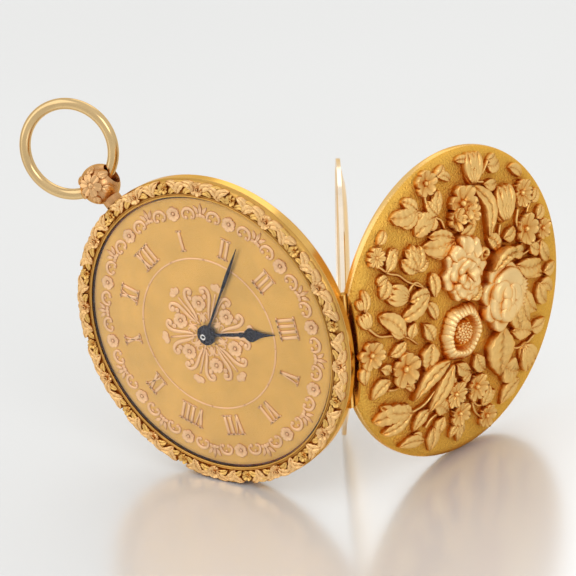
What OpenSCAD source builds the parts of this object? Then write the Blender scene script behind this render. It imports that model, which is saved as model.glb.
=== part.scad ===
// A thin open-face pocket watch with a flower-chased hinged back, standing open on its rims.
// The row frame stands on a table: +Z up, the dial looks along -Y, the cover hinge is upright at +X.
// Most pieces are drawn in the case frame instead: z out of the dial, x towards the hinge.

/* [Case] */
// Outer diameter of the case band
case_d = 43; // [42.4:0.1:44]
// Front edge of the band, ahead of the band's middle plane
band_front = 0.48; // [0.4:0.02:0.6]
// How far the cover hinge lies behind the band's middle plane
hinge_drop = 1.2; // [1.15:0.05:1.3]
// Radial wall of the band at the movement seat
band_wall = 2.5; // [2.4:0.05:2.7]
// Width of the ledge that the movement rests on
ledge_w = 0.9; // [0.8:0.05:1]
// Height of the collar that the inner cover snaps over
collar_h = 0.77; // [0.7:0.01:0.8]
// Wall of that collar
collar_w = 0.6; // [0.5:0.05:0.7]
// Hour direction of the hinge, in degrees clockwise from XII
hinge_from_twelve = 132.2; // [120:0.1:140]

/* [Back cover] */
// How far the back cover stands open, in degrees
cover_open = 103.55; // [80:0.05:104]
// Depth of the back cover's dome
cover_dome = 3.4; // [3.3:0.05:3.7]
// Wall of the back cover
cover_wall = 0.45; // [0.35:0.01:0.5]
// Radius of the rounded edge of the back cover
cover_edge_r = 1.75; // [1.6:0.05:1.9]
// Straight edge of the back cover below that rounding
cover_skirt = 0.35; // [0.25:0.05:0.45]
// How much smaller than the band the back cover is, on the radius
cover_inset = 0.1; // [0.05:0.01:0.2]

/* [Hinges] */
// How far the cover hinge's axis lies inside the band's edge
hinge_inset = 1.43; // [1.35:0.01:1.5]
// Radius of the cover hinge's knuckles
knuckle_r = 0.55; // [0.5:0.01:0.58]
// Radius of the cover hinge's pin
hinge_pin_r = 0.22; // [0.18:0.01:0.25]
// Length of the cover hinge
hinge_len = 15.6; // [14:0.1:16]
// Length of the cover hinge's middle knuckle
middle_knuckle = 4; // [3:0.1:5]
// Length of the cover hinge's end knuckles
end_knuckle = 2.6; // [2:0.1:3]
// Radius of the inner cover's knuckles
inner_knuckle_r = 0.4; // [0.35:0.01:0.42]
// Radius of the inner cover's hinge pin
inner_pin_r = 0.16; // [0.14:0.01:0.18]
// Length of the inner cover's hinge
inner_hinge_len = 9; // [8:0.1:10]
// Length of the inner hinge's middle knuckle
inner_middle = 3; // [2.5:0.1:3.5]
// How far round the rim the inner hinge sits from the cover hinge, in degrees
inner_turn = 3.6; // [3:0.1:4.2]

/* [Inner cover] */
// How far the inner cover stands open, in degrees
inner_open = 57.93; // [50:0.01:60]
// How far the inner cover laps over the case's bore, on the radius
inner_lap = 0.1; // [0.05:0.01:0.15]
// Thickness of the inner cover's rim
inner_rim_t = 0.55; // [0.45:0.05:0.6]
// Inside depth of the inner cover's dish
inner_dish = 1.05; // [1:0.05:1.15]
// Wall of the inner cover
inner_wall = 0.4; // [0.35:0.01:0.45]
// Radius of the keyholes in the inner cover
keyhole_r = 1.5; // [1.3:0.05:1.7]
// Width of the raised collar round a keyhole
keyhole_rim = 0.6; // [0.4:0.05:0.8]
// Height of that collar
keyhole_rise = 0.15; // [0.1:0.01:0.2]

/* [Bezel and crystal] */
// Height of the bezel's chased ground over the band
bezel_h = 0.8; // [0.7:0.02:0.9]
// Width of the bezel's smooth inner lip
lip_w = 0.35; // [0.3:0.01:0.4]
// Gap between the dial's edge and the bezel's opening
sight_gap = 0.25; // [0.2:0.01:0.3]
// Rise of the crystal from its edge to its middle
crystal_rise = 1.25; // [1.2:0.05:1.4]
// Thickness of the crystal
crystal_t = 0.3; // [0.25:0.01:0.35]
// Height of the cast flowers on the bezel
garland_h = 0.5; // [0.4:0.02:0.6]
// Number of times the garland repeats round the bezel
garland_n = 12; // [8:1:16]

/* [Pendant and bow] */
// Distance of the pendant ball's middle from the case's edge
ball_out = 3.4; // [3.3:0.05:3.7]
// Radius of the pendant ball
ball_r = 2.72; // [2.65:0.01:2.8]
// Radius of the neck under the ball
neck_r = 1.3; // [1.1:0.05:1.5]
// Radius of the tenon that fixes the neck in the band
tenon_r = 0.6; // [0.5:0.05:0.7]
// Radius of the bow's wire
bow_wire_r = 0.75; // [0.65:0.01:0.8]
// Radius of the bow ring, to the middle of its wire
bow_ring_r = 6.2; // [6:0.05:6.8]
// Forward lean of the bow, in degrees
bow_lean = 10; // [0:0.5:12]
// How far the pendant stands past XII, clockwise, in degrees
pendant_past_twelve = 1; // [0:0.1:2]
// How far the pendant's axis lies behind the case frame's zero plane
pendant_drop = 0.35; // [0.3:0.05:0.4]
// How far the ball is turned on its stem, in degrees
pendant_twist = 18; // [0:1:25]

/* [Dial and hands] */
// Thickness of the dial
dial_t = 0.5; // [0.45:0.01:0.5]
// Radius of the circle through the hour numerals
numeral_r = 13.06; // [12.8:0.02:13.3]
// Height of the hour numerals' letters
numeral_h = 2.9; // [2.6:0.1:3.1]
// Height that the dial's applied ornament stands proud
relief_t = 0.15; // [0.1:0.01:0.16]
// Length of the minute hand
minute_len = 14.4; // [13.5:0.1:15]
// Length of the hour hand
hour_len = 11; // [10.5:0.1:11.5]
// Thickness of the hands
hand_t = 0.12; // [0.1:0.01:0.12]
// Radius of the hands' hubs
hub_r = 1.25; // [1.15:0.01:1.3]
// Time shown by the minute hand, in minutes
minute_shown = 11.3; // [0:0.1:59.9]
// Time shown by the hour hand, in hours
hour_shown = 4.12; // [0:0.01:11.99]

/* [Wheels] */
// Module of the barrel's teeth
barrel_m = 0.18; // [0.175:0.001:0.182]
// Module of the middle wheel's teeth
middle_m = 0.15; // [0.148:0.001:0.152]
// Module of the third wheel's teeth
third_m = 0.13; // [0.128:0.001:0.132]
// Module of the fourth wheel's teeth
fourth_m = 0.12; // [0.118:0.001:0.122]
// Centre distance of the motion work
motion_dist = 3; // [2.95:0.01:3.05]
// Radius of the escape wheel
escape_r = 2.9; // [2.8:0.02:3]
// Radius of the balance
balance_r = 6; // [5.8:0.05:6.05]
// Radial width of the balance rim
balance_rim_w = 0.75; // [0.6:0.05:0.9]
// Coils of the balance spring
spring_coils = 5; // [4:1:6]
// Coils of the mainspring
main_coils = 8; // [6:1:9]

/* [Plate and bars] */
// Play between the main plate's edge and the case's bore
plate_play = 0.1; // [0.05:0.01:0.2]
// Thickness of the main plate
plate_t = 0.95; // [0.9:0.01:1]
// Thickness of the bars
bar_t = 0.55; // [0.5:0.01:0.56]
// Gap between the main plate and the bars
bar_gap = 1.25; // [1.22:0.01:1.28]
// Radius of the bar screws' heads
screw_head_r = 0.75; // [0.6:0.05:0.85]

/* [Hidden] */
$fn = 96;

// Clearances between pieces that meet
fit = 0.03;
seat = 0.02;
run = 0.12;
eps = 0.01;

// Colours of the metals
gold = "goldenrod";
rose = "sandybrown";
pale_gold = "khaki";
blue = "midnightblue";
gilt = "gold";
steel = "lightsteelblue";

// Places that follow from the case
case_r = case_d / 2;
cover_r = case_r - cover_inset;
hinge_x = case_r - hinge_inset;
dial_turn = hinge_from_twelve - 90;
bore_r = case_r - band_wall;
ledge_r = bore_r - ledge_w;
collar_r = bore_r + inner_lap;
inner_r = bore_r + inner_lap;
plate_r = bore_r - plate_play;
sight_r = plate_r + sight_gap;
ball_reach = case_r + ball_out;
// The movement and the dial are drawn for this plate, and grow with the one that they are given
drawn_plate_r = 18.9;
calibre = round(1e6 * plate_r / drawn_plate_r) / 1e6;
// The flowers are drawn for this cover, and spread with it
drawn_cover_r = 21.4;
flower_spread = round(1e6 * cover_r / drawn_cover_r) / 1e6;
inner_z = -hinge_drop - collar_h - seat;
inner_hinge_x = inner_r - 0.29;
band_back = -hinge_drop + seat;
knuckle_in = (hinge_len - middle_knuckle - 2 * end_knuckle) / 2;
inner_knuckle_in = (inner_hinge_len - inner_middle) / 2;
swing_gap = 0.1;

// Heights in the case frame, from the dial backwards
plate_front = 0.4;
dial_back = plate_front + 0.05;
dial_front = dial_back + dial_t;
plate_back = plate_front - plate_t;
bar_front = plate_back - bar_gap;
bar_back = bar_front - bar_t;
ground_z = band_front + bezel_h;
lip_z = ground_z + 0.22;
crystal_z = dial_front + 0.07;
motion_floor = -0.2;
barrel_floor = plate_back + 0.15;
escape_floor = 0.1;
cock_t = 0.5;
cock_back = bar_back - 0.35;
escape_cock_front = plate_back - 0.45;
escape_cock_t = 0.28;
escape_cock_back = escape_cock_front - escape_cock_t;

// Tooth counts
barrel_n = 80;
middle_pin_n = 10;
middle_n = 64;
third_pin_n = 8;
third_n = 60;
fourth_pin_n = 8;
fourth_n = 60;
escape_pin_n = 6;
escape_n = 15;
cannon_n = 12;
minute_n = 36;
minute_pin_n = 10;
hour_n = 40;

// Where the arbors stand, each a centre distance from the one before
function polar(r, a) = [r * cos(a), r * sin(a)];
barrel_dir = 200;
third_dir = 10;
fourth_dir = -60;
escape_dir = -84;
balance_dir = -125;
minute_dir = 70;
middle_at = [0, 0];
barrel_at = polar(barrel_m * (barrel_n + middle_pin_n) / 2, barrel_dir);
third_at = polar(middle_m * (middle_n + third_pin_n) / 2, third_dir);
fourth_at = third_at + polar(third_m * (third_n + fourth_pin_n) / 2, fourth_dir);
escape_at = fourth_at + polar(fourth_m * (fourth_n + escape_pin_n) / 2, escape_dir);
cylinder_r = 0.45;
balance_at = escape_at + polar(escape_r + cylinder_r + 0.1, balance_dir);
minute_at = polar(motion_dist, minute_dir);
cannon_m = 2 * motion_dist / (cannon_n + minute_n);
hour_m = 2 * motion_dist / (minute_pin_n + hour_n);
barrel_pr = barrel_m * barrel_n / 2;

// A pinion's turn so that its teeth fall in the gaps of the wheel that it meets
function in_mesh(n_a, n_b, dir, turn_a) =
    dir + 180 + 180 / n_b - (turn_a - dir) * n_a / n_b;
middle_pin_turn = in_mesh(barrel_n, middle_pin_n, barrel_dir + 180, 0);
third_pin_turn = in_mesh(middle_n, third_pin_n, third_dir, 0);
fourth_pin_turn = in_mesh(third_n, fourth_pin_n, fourth_dir, 0);
escape_pin_turn = in_mesh(fourth_n, escape_pin_n, escape_dir, 0);
minute_turn = in_mesh(cannon_n, minute_n, minute_dir, 0);
hour_turn = in_mesh(minute_pin_n, hour_n, minute_dir + 180, 0);

// Feet of the bars and cocks, chosen where the plate is free
middle_foot = polar(12.2, 108);
third_foot = polar(14.8, 18);
fourth_foot = polar(14.8, -14);
barrel_foot_a = barrel_at + polar(barrel_pr + 1.9, 98);
barrel_foot_b = barrel_at + polar(barrel_pr + 1.9, 280);
escape_foot = escape_at + polar(5.4, -28);
balance_foot = balance_at + polar(balance_r + 1.9, 200);
foot_r = 1.5;
barrel_table_r = 5;
small_foot_r = 1.2;
click_at = barrel_at + polar(4.1, 20);

// Heights of the wheels and pinions, back face of each
barrel_z = barrel_floor - 0.05;
middle_wheel_z = plate_back - 0.9;
third_wheel_z = plate_back - 0.48;
fourth_wheel_z = plate_back - 0.2;
escape_wheel_z = escape_floor - 0.12;
balance_z = plate_back - 0.8;
wheel_t = 0.14;
pivot_r = 0.13;
arbor_r = 0.26;
middle_arbor_r = 0.35;
pipe_r = 0.58;
hour_pipe_r = 0.88;
jewel_r = 0.45;
screw_r = 0.35;
screw_head_t = 0.18;
square_z = bar_back - 0.55;

// Frames
module in_case() { translate([0, 0, case_r]) rotate([90, 0, 0]) children(); }
module in_movement() { in_case() scale([calibre, calibre, 1]) children(); }
module towards_twelve() { rotate([0, 0, dial_turn]) children(); }
module at_stem() {
    rotate([0, 0, dial_turn - pendant_past_twelve]) translate([0, 0, -pendant_drop]) children();
}
module at_ball() { at_stem() translate([0, ball_reach, 0]) rotate([0, pendant_twist, 0]) children(); }
module opened(x, z, angle) {
    translate([x, 0, z]) rotate([0, -angle, 0]) translate([-x, 0, -z]) children();
}
module at(p, z) { translate([p[0], p[1], z]) children(); }
module cover_placed() { in_case() opened(hinge_x, -hinge_drop, cover_open) children(); }
module inner_placed() {
    in_case() rotate([0, 0, -inner_turn]) opened(inner_hinge_x, inner_z, inner_open) children();
}

// Basic shapes
module disc(p, r, z0, z1) { at(p, min(z0, z1)) cylinder(r = r, h = abs(z1 - z0)); }
module ring(p, ro, ri, z0, z1) {
    at(p, min(z0, z1)) difference() {
        cylinder(r = ro, h = abs(z1 - z0));
        translate([0, 0, -1]) cylinder(r = ri, h = abs(z1 - z0) + 2);
    }
}
module rod_y(x, z, r, y0, y1) {
    translate([x, y0, z]) rotate([-90, 0, 0]) cylinder(r = r, h = y1 - y0);
}
module arm(p, q, r, z0, z1) {
    d = q - p;
    at(p, min(z0, z1)) rotate([0, 0, atan2(d[1], d[0])])
        translate([0, -r, 0]) cube([norm(d), 2 * r, abs(z1 - z0)]);
}
// Outline of a hand or a lever from rows of [distance along it, half width]
module blade(rows) {
    n = len(rows);
    polygon(concat([for (i = [0 : n - 1]) [-rows[i][1], rows[i][0]]],
        [for (i = [n - 1 : -1 : 0]) [rows[i][1], rows[i][0]]]));
}

// Gears
function tooth_points(n, m, turn, share) = let (
        pitch = n * m / 2, tip = pitch + 0.8 * m, root = pitch - 1.1 * m,
        half = 180 / n * share)
    [for (i = [0 : n - 1], k = [0 : 3])
        polar(k == 0 || k == 3 ? root : tip,
            turn + i * 360 / n + half * [-1.25, -0.55, 0.55, 1.25][k])];
module gear(n, m, turn, share = 0.42) { polygon(tooth_points(n, m, turn, share)); }
module pinion(p, n, m, turn, z0, z1) {
    at(p, min(z0, z1)) linear_extrude(abs(z1 - z0)) gear(n, m, turn, 0.34);
}
module crossed_wheel(p, n, m, z, t, arms) {
    hole_r = n * m / 2 - 1.1 * m - 0.35;
    at(p, z) linear_extrude(t) {
        difference() { gear(n, m, 0); circle(hole_r); }
        circle(hole_r * 0.22);
        for (i = [0 : arms - 1]) rotate([0, 0, (i + 0.5) * 360 / arms])
            translate([0, -0.16]) square([hole_r + 0.1, 0.32]);
    }
}

// Case band with its pendant socket and both sets of fixed knuckles
module band_profile() {
    polygon([[ledge_r, -hinge_drop], [ledge_r, plate_back - seat], [bore_r, plate_back - seat],
        [bore_r, band_front], [case_r - 0.05, band_front], [case_r, band_front - 0.13],
        [case_r, band_back + 0.38], [case_r - 0.12, band_back + 0.12], [case_r - 0.35, band_back],
        [collar_r, band_back], [collar_r, -hinge_drop - collar_h],
        [collar_r - collar_w, -hinge_drop - collar_h], [collar_r - collar_w, -hinge_drop]]);
}
module cover_knuckle_spans(fixed) {
    half = hinge_len / 2;
    mid = middle_knuckle / 2;
    if (fixed) {
        for (s = [-1, 1]) span_y(s * (half - end_knuckle), s * half) children();
        span_y(-mid, mid) children();
    } else {
        for (s = [-1, 1])
            span_y(s * (mid + swing_gap), s * (mid + knuckle_in - swing_gap)) children();
    }
}
module span_y(a, b) {
    translate([0, min(a, b), 0]) scale_y(abs(b - a)) children();
}
// Draws the child, which is one unit long in y, at a length
module scale_y(len) { $span = len; children(); }
module knuckle(x, z, r) { rod_y(x, z, r, 0, $span); }
module block(x0, x1, z0, z1) { translate([x0, 0, z0]) cube([x1 - x0, $span, z1 - z0]); }
module widened(gap) {
    span = $span;
    translate([0, -gap, 0]) scale_y(span + 2 * gap) children();
}
module inner_knuckle_spans(fixed) {
    mid = inner_middle / 2;
    if (fixed) {
        span_y(-mid, mid) children();
    } else {
        for (s = [-1, 1])
            span_y(s * (mid + swing_gap), s * (mid + inner_knuckle_in - swing_gap)) children();
    }
}
module case_band() color(gold) in_case() {
    notch_z = -hinge_drop + knuckle_r + 0.1;
    difference() {
        union() {
            difference() {
                rotate_extrude() band_profile();
                // flat notch along the hinge's chord, where the cover's knuckles turn
                translate([hinge_x + 0.3, -hinge_len / 2 - 0.4, -hinge_drop - 1])
                    cube([5, hinge_len + 0.8, 1 + knuckle_r + 0.1]);
                cover_knuckle_spans(false) widened(swing_gap)
                    knuckle(hinge_x, -hinge_drop, knuckle_r + run);
                rotate([0, 0, -inner_turn]) inner_knuckle_spans(false) widened(swing_gap)
                    knuckle(inner_hinge_x, inner_z, inner_knuckle_r + run);
                at_stem() translate([0, bore_r + 0.6, 0]) rotate([-90, 0, 0])
                    cylinder(r = tenon_r, h = 5);
            }
            cover_knuckle_spans(true) {
                knuckle(hinge_x, -hinge_drop, knuckle_r);
                block(hinge_x - 0.45, hinge_x + 0.3, -hinge_drop, notch_z);
            }
            rotate([0, 0, -inner_turn]) inner_knuckle_spans(true)
                knuckle(inner_hinge_x, inner_z, inner_knuckle_r);
        }
        rod_y(hinge_x, -hinge_drop, hinge_pin_r + fit, -hinge_len, hinge_len);
        rotate([0, 0, -inner_turn])
            rod_y(inner_hinge_x, inner_z, inner_pin_r + fit, -inner_hinge_len, inner_hinge_len);
    }
}
module cover_hinge_pin() color(pale_gold) in_case()
    rod_y(hinge_x, -hinge_drop, hinge_pin_r, -hinge_len / 2, hinge_len / 2);
module inner_hinge_pin() color(pale_gold) in_case() rotate([0, 0, -inner_turn])
    rod_y(inner_hinge_x, inner_z, inner_pin_r, -inner_hinge_len / 2, inner_hinge_len / 2);

// Pendant ball on its neck, with the waisted hole that the bow turns in
bow_sag = bow_ring_r - sqrt(bow_ring_r * bow_ring_r - ball_r * ball_r);
module bored_ball() {
    waist = bow_wire_r + 0.08;
    flare = bow_wire_r + bow_sag + 0.25;
    // the hole is waisted in the middle, which leaves room for the curved wire
    rotate([0, 90, 0]) rotate_extrude() difference() {
        circle(r = ball_r);
        polygon([[-9, -4], [flare, -4], [flare, -ball_r], [waist, -0.15], [waist, 0.15],
            [flare, ball_r], [flare, 4], [-9, 4]]);
    }
}
module pendant() color(rose) in_case() {
    at_ball() bored_ball();
    at_stem() translate([0, case_r + 0.06, 0]) rotate([-90, 0, 0])
        cylinder(r = neck_r, h = ball_reach - case_r - ball_r * 0.5);
    at_stem() translate([0, bore_r + 0.7, 0]) rotate([-90, 0, 0])
        cylinder(r = tenon_r, h = case_r - bore_r);
}
module pendant_flower() color(rose) in_case() at_ball()
    translate([0, 0, ball_r - 0.12]) {
        cylinder(r1 = 0.62, r2 = 0.45, h = 0.45);
        for (i = [0 : 5]) rotate([0, 0, i * 60]) translate([1.0, 0, -0.22])
            cylinder(r1 = 0.55, r2 = 0.4, h = 0.5);
    }
module bow() color(pale_gold) in_case() at_ball()
    rotate([bow_lean, 0, 0]) translate([0, bow_ring_r, 0])
        rotate_extrude() translate([bow_ring_r, 0]) circle(r = bow_wire_r);

// Bezel with its moulded edge, its lip over the crystal and the ground of the garland
module bezel() color(gold) in_case() rotate_extrude() polygon([
    [sight_r, band_front + seat], [sight_r, crystal_z - seat],
    [sight_r + lip_w, crystal_z - seat], [sight_r + lip_w, crystal_z + crystal_t + 3 * seat],
    [sight_r, crystal_z + crystal_t + 3 * seat], [sight_r + 0.04, lip_z - 0.04],
    [sight_r + 0.15, lip_z], [sight_r + lip_w, lip_z - 0.04], [sight_r + lip_w + 0.1, ground_z],
    [case_r - 0.75, ground_z], [case_r - 0.55, ground_z + 0.05], [case_r - 0.28, ground_z - 0.1],
    [case_r - 0.08, ground_z - 0.38], [case_r, band_front + 0.15],
    [case_r - 0.05, band_front + seat]]);
garland_r = (sight_r + lip_w + case_r - 0.6) / 2;
module garland_rose(s) {
    translate([0, 0, -0.05]) cylinder(r = 0.62 * s, h = 0.3);
    translate([0, 0, 0.1]) cylinder(r1 = 0.48 * s, r2 = 0.3 * s, h = garland_h - 0.1);
}
module leaf_outline(l, w) {
    polygon([[0, 0], [0.3 * l, 0.5 * w], [0.62 * l, 0.42 * w], [l, 0],
        [0.62 * l, -0.42 * w], [0.3 * l, -0.5 * w]]);
}
module leaf(l, w, h) {
    translate([0, 0, -0.1]) linear_extrude(0.1 + h * 0.55) leaf_outline(l, w);
    translate([0, 0, -0.1]) linear_extrude(0.1 + h) polygon([[0.08 * l, 0], [0.4 * l, 0.1 * w],
        [0.85 * l, 0], [0.4 * l, -0.1 * w]]);
}
module on_bezel(turn) { rotate([0, 0, turn]) translate([garland_r, 0, ground_z]) children(); }
module bezel_garland() color(rose) in_case() towards_twelve()
    for (i = [0 : garland_n - 1]) rotate([0, 0, (i + 0.5) * 360 / garland_n]) {
        on_bezel(0) garland_rose(1);
        on_bezel(13.2) garland_rose(0.7);
        for (s = [-1, 1]) {
            on_bezel(s * 2) rotate([0, 0, s * 80]) leaf(1.8, 0.95, 0.4);
            on_bezel(s * 7.6) rotate([0, 0, s * 100]) leaf(1.7, 0.85, 0.42);
        }
    }
module crystal() color("aliceblue", 0.4) in_case() translate([0, 0, crystal_z]) {
    edge_r = sight_r + lip_w - seat;
    cap_r = (edge_r * edge_r + crystal_rise * crystal_rise) / (2 * crystal_rise);
    steps = 12;
    rise = function(r) crystal_rise - (cap_r - sqrt(cap_r * cap_r - r * r));
    rotate_extrude() polygon(concat(
        [for (i = [0 : steps]) let (r = edge_r * i / steps) [r, rise(r) + crystal_t]],
        [for (i = [steps : -1 : 0]) let (r = edge_r * i / steps) [r, rise(r)]]));
}

// Dial, its feet, numerals and applied ornament
module dial() color(gilt) in_movement() {
    ring([0, 0], drawn_plate_r, hub_r + 0.1, dial_back, dial_front);
    towards_twelve() for (a = [75, 165, 300])
        disc(polar(15.5, a), 0.4, dial_back, plate_front - 0.5);
}
module foot_holes() {
    for (a = [75, 165, 300])
        towards_twelve() disc(polar(15.5, a), 0.4 + fit, plate_front - 0.52, plate_front + 1);
}
numeral_codes = ["XII", "I", "II", "III", "IIII", "V", "VI", "VII", "VIII", "IX", "X", "XI"];
stroke = 0.34;
function letter_w(c) = c == "I" ? 0.62 : c == "V" ? 1.3 : 1.4;
function word_w(t, i = 0) = i == len(t) ? 0 : letter_w(t[i]) + word_w(t, i + 1);
module slanted(x0, x1, w) {
    polygon([[x0, 0], [x0 + w, 0], [x1 + w, numeral_h], [x1, numeral_h]]);
}
module letter(c) {
    serif = 0.16;
    if (c == "I") translate([0.31 - stroke / 2, 0]) square([stroke, numeral_h]);
    if (c == "V") { slanted(0.5, 0.14, stroke); slanted(0.62, 1.06, stroke / 2); }
    if (c == "X") { slanted(0.9, 0.12, stroke); slanted(0.3, 1.08, stroke / 2); }
    for (y = [0, numeral_h - serif])
        if (c != "V" || y > 0) translate([0.04, y]) square([letter_w(c) - 0.08, serif]);
    if (c == "V") translate([0.42, 0]) square([0.46, serif]);
}
module word(t, i = 0) {
    if (i < len(t)) {
        letter(t[i]);
        translate([letter_w(t[i]), 0]) word(t, i + 1);
    }
}
module hour_numerals() color(rose) in_movement() towards_twelve()
    for (k = [0 : 11]) rotate([0, 0, -30 * k])
        translate([0, numeral_r - numeral_h / 2, dial_front])
            linear_extrude(relief_t) translate([-word_w(numeral_codes[k]) / 2, 0])
                word(numeral_codes[k]);
module scroll(x, y, r, w, from, to) {
    translate([x, y, 0]) rotate([0, 0, from]) rotate_extrude(angle = to - from)
        translate([r - w / 2, 0]) square([w, relief_t]);
}
module dot(x, y, r, h) { translate([x, y, 0]) cylinder(r = r, h = h); }
module applied_blossom(x, y, r, petals) {
    size = min(0.34 * r, 0.56 * r * tan(180 / petals));
    dot(x, y, 0.3 * r, relief_t + 0.04);
    for (i = [0 : petals - 1]) translate([x, y, 0]) rotate([0, 0, i * 360 / petals + 90])
        dot(r - size, 0, size, relief_t);
}
border_r = 16.9;
module dial_border() color(rose) in_movement() towards_twelve() translate([0, 0, dial_front]) {
    for (k = [0 : 11]) rotate([0, 0, 30 * k]) {
        applied_blossom(0, border_r - 0.1, 1.0, 6);
        for (s = [-1, 1]) mirror([s > 0 ? 0 : 1, 0, 0]) {
            dot(1.35, border_r - 0.1, 0.24, relief_t);
            scroll(2.5, border_r - 0.1, 0.85, 0.34, -25, 205);
            dot(3.35, border_r - 0.6, 0.26, relief_t);
        }
    }
    for (k = [0 : 11]) rotate([0, 0, 30 * k + 15]) {
        dot(0, border_r + 0.2, 0.34, relief_t);
        for (a = [-38, 0, 38]) translate([0, border_r + 0.2, 0]) rotate([0, 0, a])
            linear_extrude(relief_t) polygon([[-0.26, 0.45], [0.26, 0.45], [0, 1.2]]);
    }
}
ring_line_r = 10.75;
module dial_rosette() color(rose) in_movement() towards_twelve() translate([0, 0, dial_front]) {
    ring([0, 0], ring_line_r + 0.13, ring_line_r - 0.13, 0, relief_t * 0.6);
    for (k = [0 : 5]) rotate([0, 0, 60 * k + 30]) applied_blossom(0, 4.45, 1.15, 5);
    for (k = [0 : 5]) rotate([0, 0, 60 * k]) {
        translate([-0.14, 1.7, 0]) cube([0.28, 5.2, relief_t * 0.8]);
        dot(0, 7.15, 0.38, relief_t);
        for (s = [-1, 1]) mirror([s > 0 ? 0 : 1, 0, 0]) {
            dot(0.62, 6.75, 0.28, relief_t);
            scroll(1.55, 5.95, 0.72, 0.3, -60, 170);
            scroll(0.75, 3.35, 0.5, 0.26, -50, 150);
        }
    }
}

// Hands, drawn along +y and turned clockwise from XII
hour_z = dial_front + relief_t + 0.08;
minute_z = hour_z + hand_t + 0.08;
pipe_top = minute_z;
module hour_hand() color(blue) in_movement() towards_twelve()
    rotate([0, 0, -30 * hour_shown]) translate([0, 0, hour_z]) {
        ring([0, 0], hub_r, hour_pipe_r, 0, hand_t);
        linear_extrude(hand_t) blade([[1.05, 0.34], [2.4, 0.2], [hour_len * 0.4, 0.2],
            [hour_len * 0.44, 0.5], [hour_len * 0.48, 0.5], [hour_len * 0.52, 0.22],
            [hour_len * 0.56, 0.3], [hour_len * 0.6, 0.85], [hour_len * 0.66, 1.1],
            [hour_len * 0.72, 0.95], [hour_len * 0.8, 0.42], [hour_len * 0.9, 0.14],
            [hour_len, 0.04]]);
    }
module minute_hand() color(blue) in_movement() towards_twelve()
    rotate([0, 0, -6 * minute_shown]) translate([0, 0, minute_z]) {
        linear_extrude(hand_t) blade([[0.5, 0.3], [minute_len * 0.4, 0.16],
            [minute_len * 0.5, 0.26], [minute_len * 0.6, 0.46], [minute_len * 0.7, 0.4],
            [minute_len * 0.85, 0.18], [minute_len, 0.04]]);
        cylinder(r = hub_r - 0.05, h = hand_t);
        translate([0, 0, hand_t - 0.02]) cylinder(r1 = hub_r - 0.15, r2 = 0.55, h = 0.24);
    }

// Main plate with its recesses and arbor holes
module main_plate() color(gilt) in_movement() difference() {
    disc([0, 0], drawn_plate_r, plate_back, plate_front);
    disc([0, 0], hour_m * hour_n / 2 + 0.45, motion_floor, 1);
    difference() {
        disc(minute_at, cannon_m * minute_n / 2 + 0.35, motion_floor, 1);
        disc(minute_at, 0.25, motion_floor - 1, 2);
    }
    disc(barrel_at, barrel_pr + 0.4, barrel_floor, -2);
    disc(middle_at, barrel_m * middle_pin_n / 2 + 0.45, barrel_floor, -2);
    disc(escape_at, escape_r + 0.3, escape_floor, -2);
    disc(balance_at, cylinder_r + 0.4, escape_floor, -2);
    disc(middle_at, middle_arbor_r + fit, -3, 3);
    disc(barrel_at, 0.5 + fit, -3, 0.2);
    for (p = [third_at, fourth_at]) disc(p, pivot_r + fit, -3, 0.1);
    for (p = [escape_at, balance_at]) disc(p, pivot_r + fit, -3, 0.3);
    foot_holes();
    bar_screw_places() disc([0, 0], screw_r + fit, plate_back - 1, plate_front - 0.15);
    case_screw_places() disc([0, 0], screw_r + fit, plate_back - 1, plate_front - 0.15);
}

// Bars and cocks
module bar_screw_places() {
    for (p = [middle_foot, third_foot, fourth_foot, barrel_foot_a, barrel_foot_b, escape_foot,
            balance_foot + polar(0.75, 110), balance_foot + polar(0.75, -70)])
        at(p, 0) children();
}
module case_screw_places() { for (a = [60, 262]) at(polar(17.35, a), 0) children(); }
module screw_hole(p, z) { disc(p, screw_r + fit, plate_back + 1, z - 2); }
module bar(from, foot, r, foot_size, hole_r) color(gilt) in_movement() difference() {
    union() {
        disc(from, r, bar_back, bar_front);
        arm(from, foot, r * 0.85, bar_back, bar_front);
        disc(foot, foot_size, bar_back, plate_back);
    }
    disc(from, hole_r + fit, -5, 0);
    screw_hole(foot, bar_back);
}
module middle_bar() bar(middle_at, middle_foot, 1.5, foot_r, middle_arbor_r);
module third_bar() bar(third_at, third_foot, 1.0, small_foot_r, pivot_r);
module fourth_bar() bar(fourth_at, fourth_foot, 0.75, small_foot_r, pivot_r);
module barrel_bar() color(gilt) in_movement() difference() {
    union() {
        disc(barrel_at, barrel_table_r, bar_back, bar_front);
        for (f = [barrel_foot_a, barrel_foot_b]) {
            arm(barrel_at, f, foot_r * 0.9, bar_back, bar_front);
            disc(f, foot_r, bar_back, plate_back);
        }
        disc(click_at, 0.3, bar_back, bar_back - 0.3);
    }
    disc(barrel_at, 0.6 + fit, -5, 0);
    for (f = [barrel_foot_a, barrel_foot_b]) screw_hole(f, bar_back);
}
module escape_cock() color(gilt) in_movement() difference() {
    union() {
        disc(escape_at, 0.65, escape_cock_back, escape_cock_front);
        arm(escape_at, escape_foot, 0.55, escape_cock_back, escape_cock_front);
        disc(escape_foot, 1.05, escape_cock_back, plate_back);
    }
    disc(escape_at, pivot_r + fit, -5, 0);
    screw_hole(escape_foot, escape_cock_back);
}
module balance_cock() color(gilt) in_movement() difference() {
    union() {
        disc(balance_at, 2.2, cock_back, cock_back + cock_t);
        arm(balance_at, balance_foot, 1.3, cock_back, cock_back + cock_t);
        disc(balance_foot, foot_r, cock_back, plate_back);
    }
    disc(balance_at, pivot_r + fit, -5, 0);
    for (a = [110, -70]) screw_hole(balance_foot + polar(0.75, a), cock_back);
}
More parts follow.
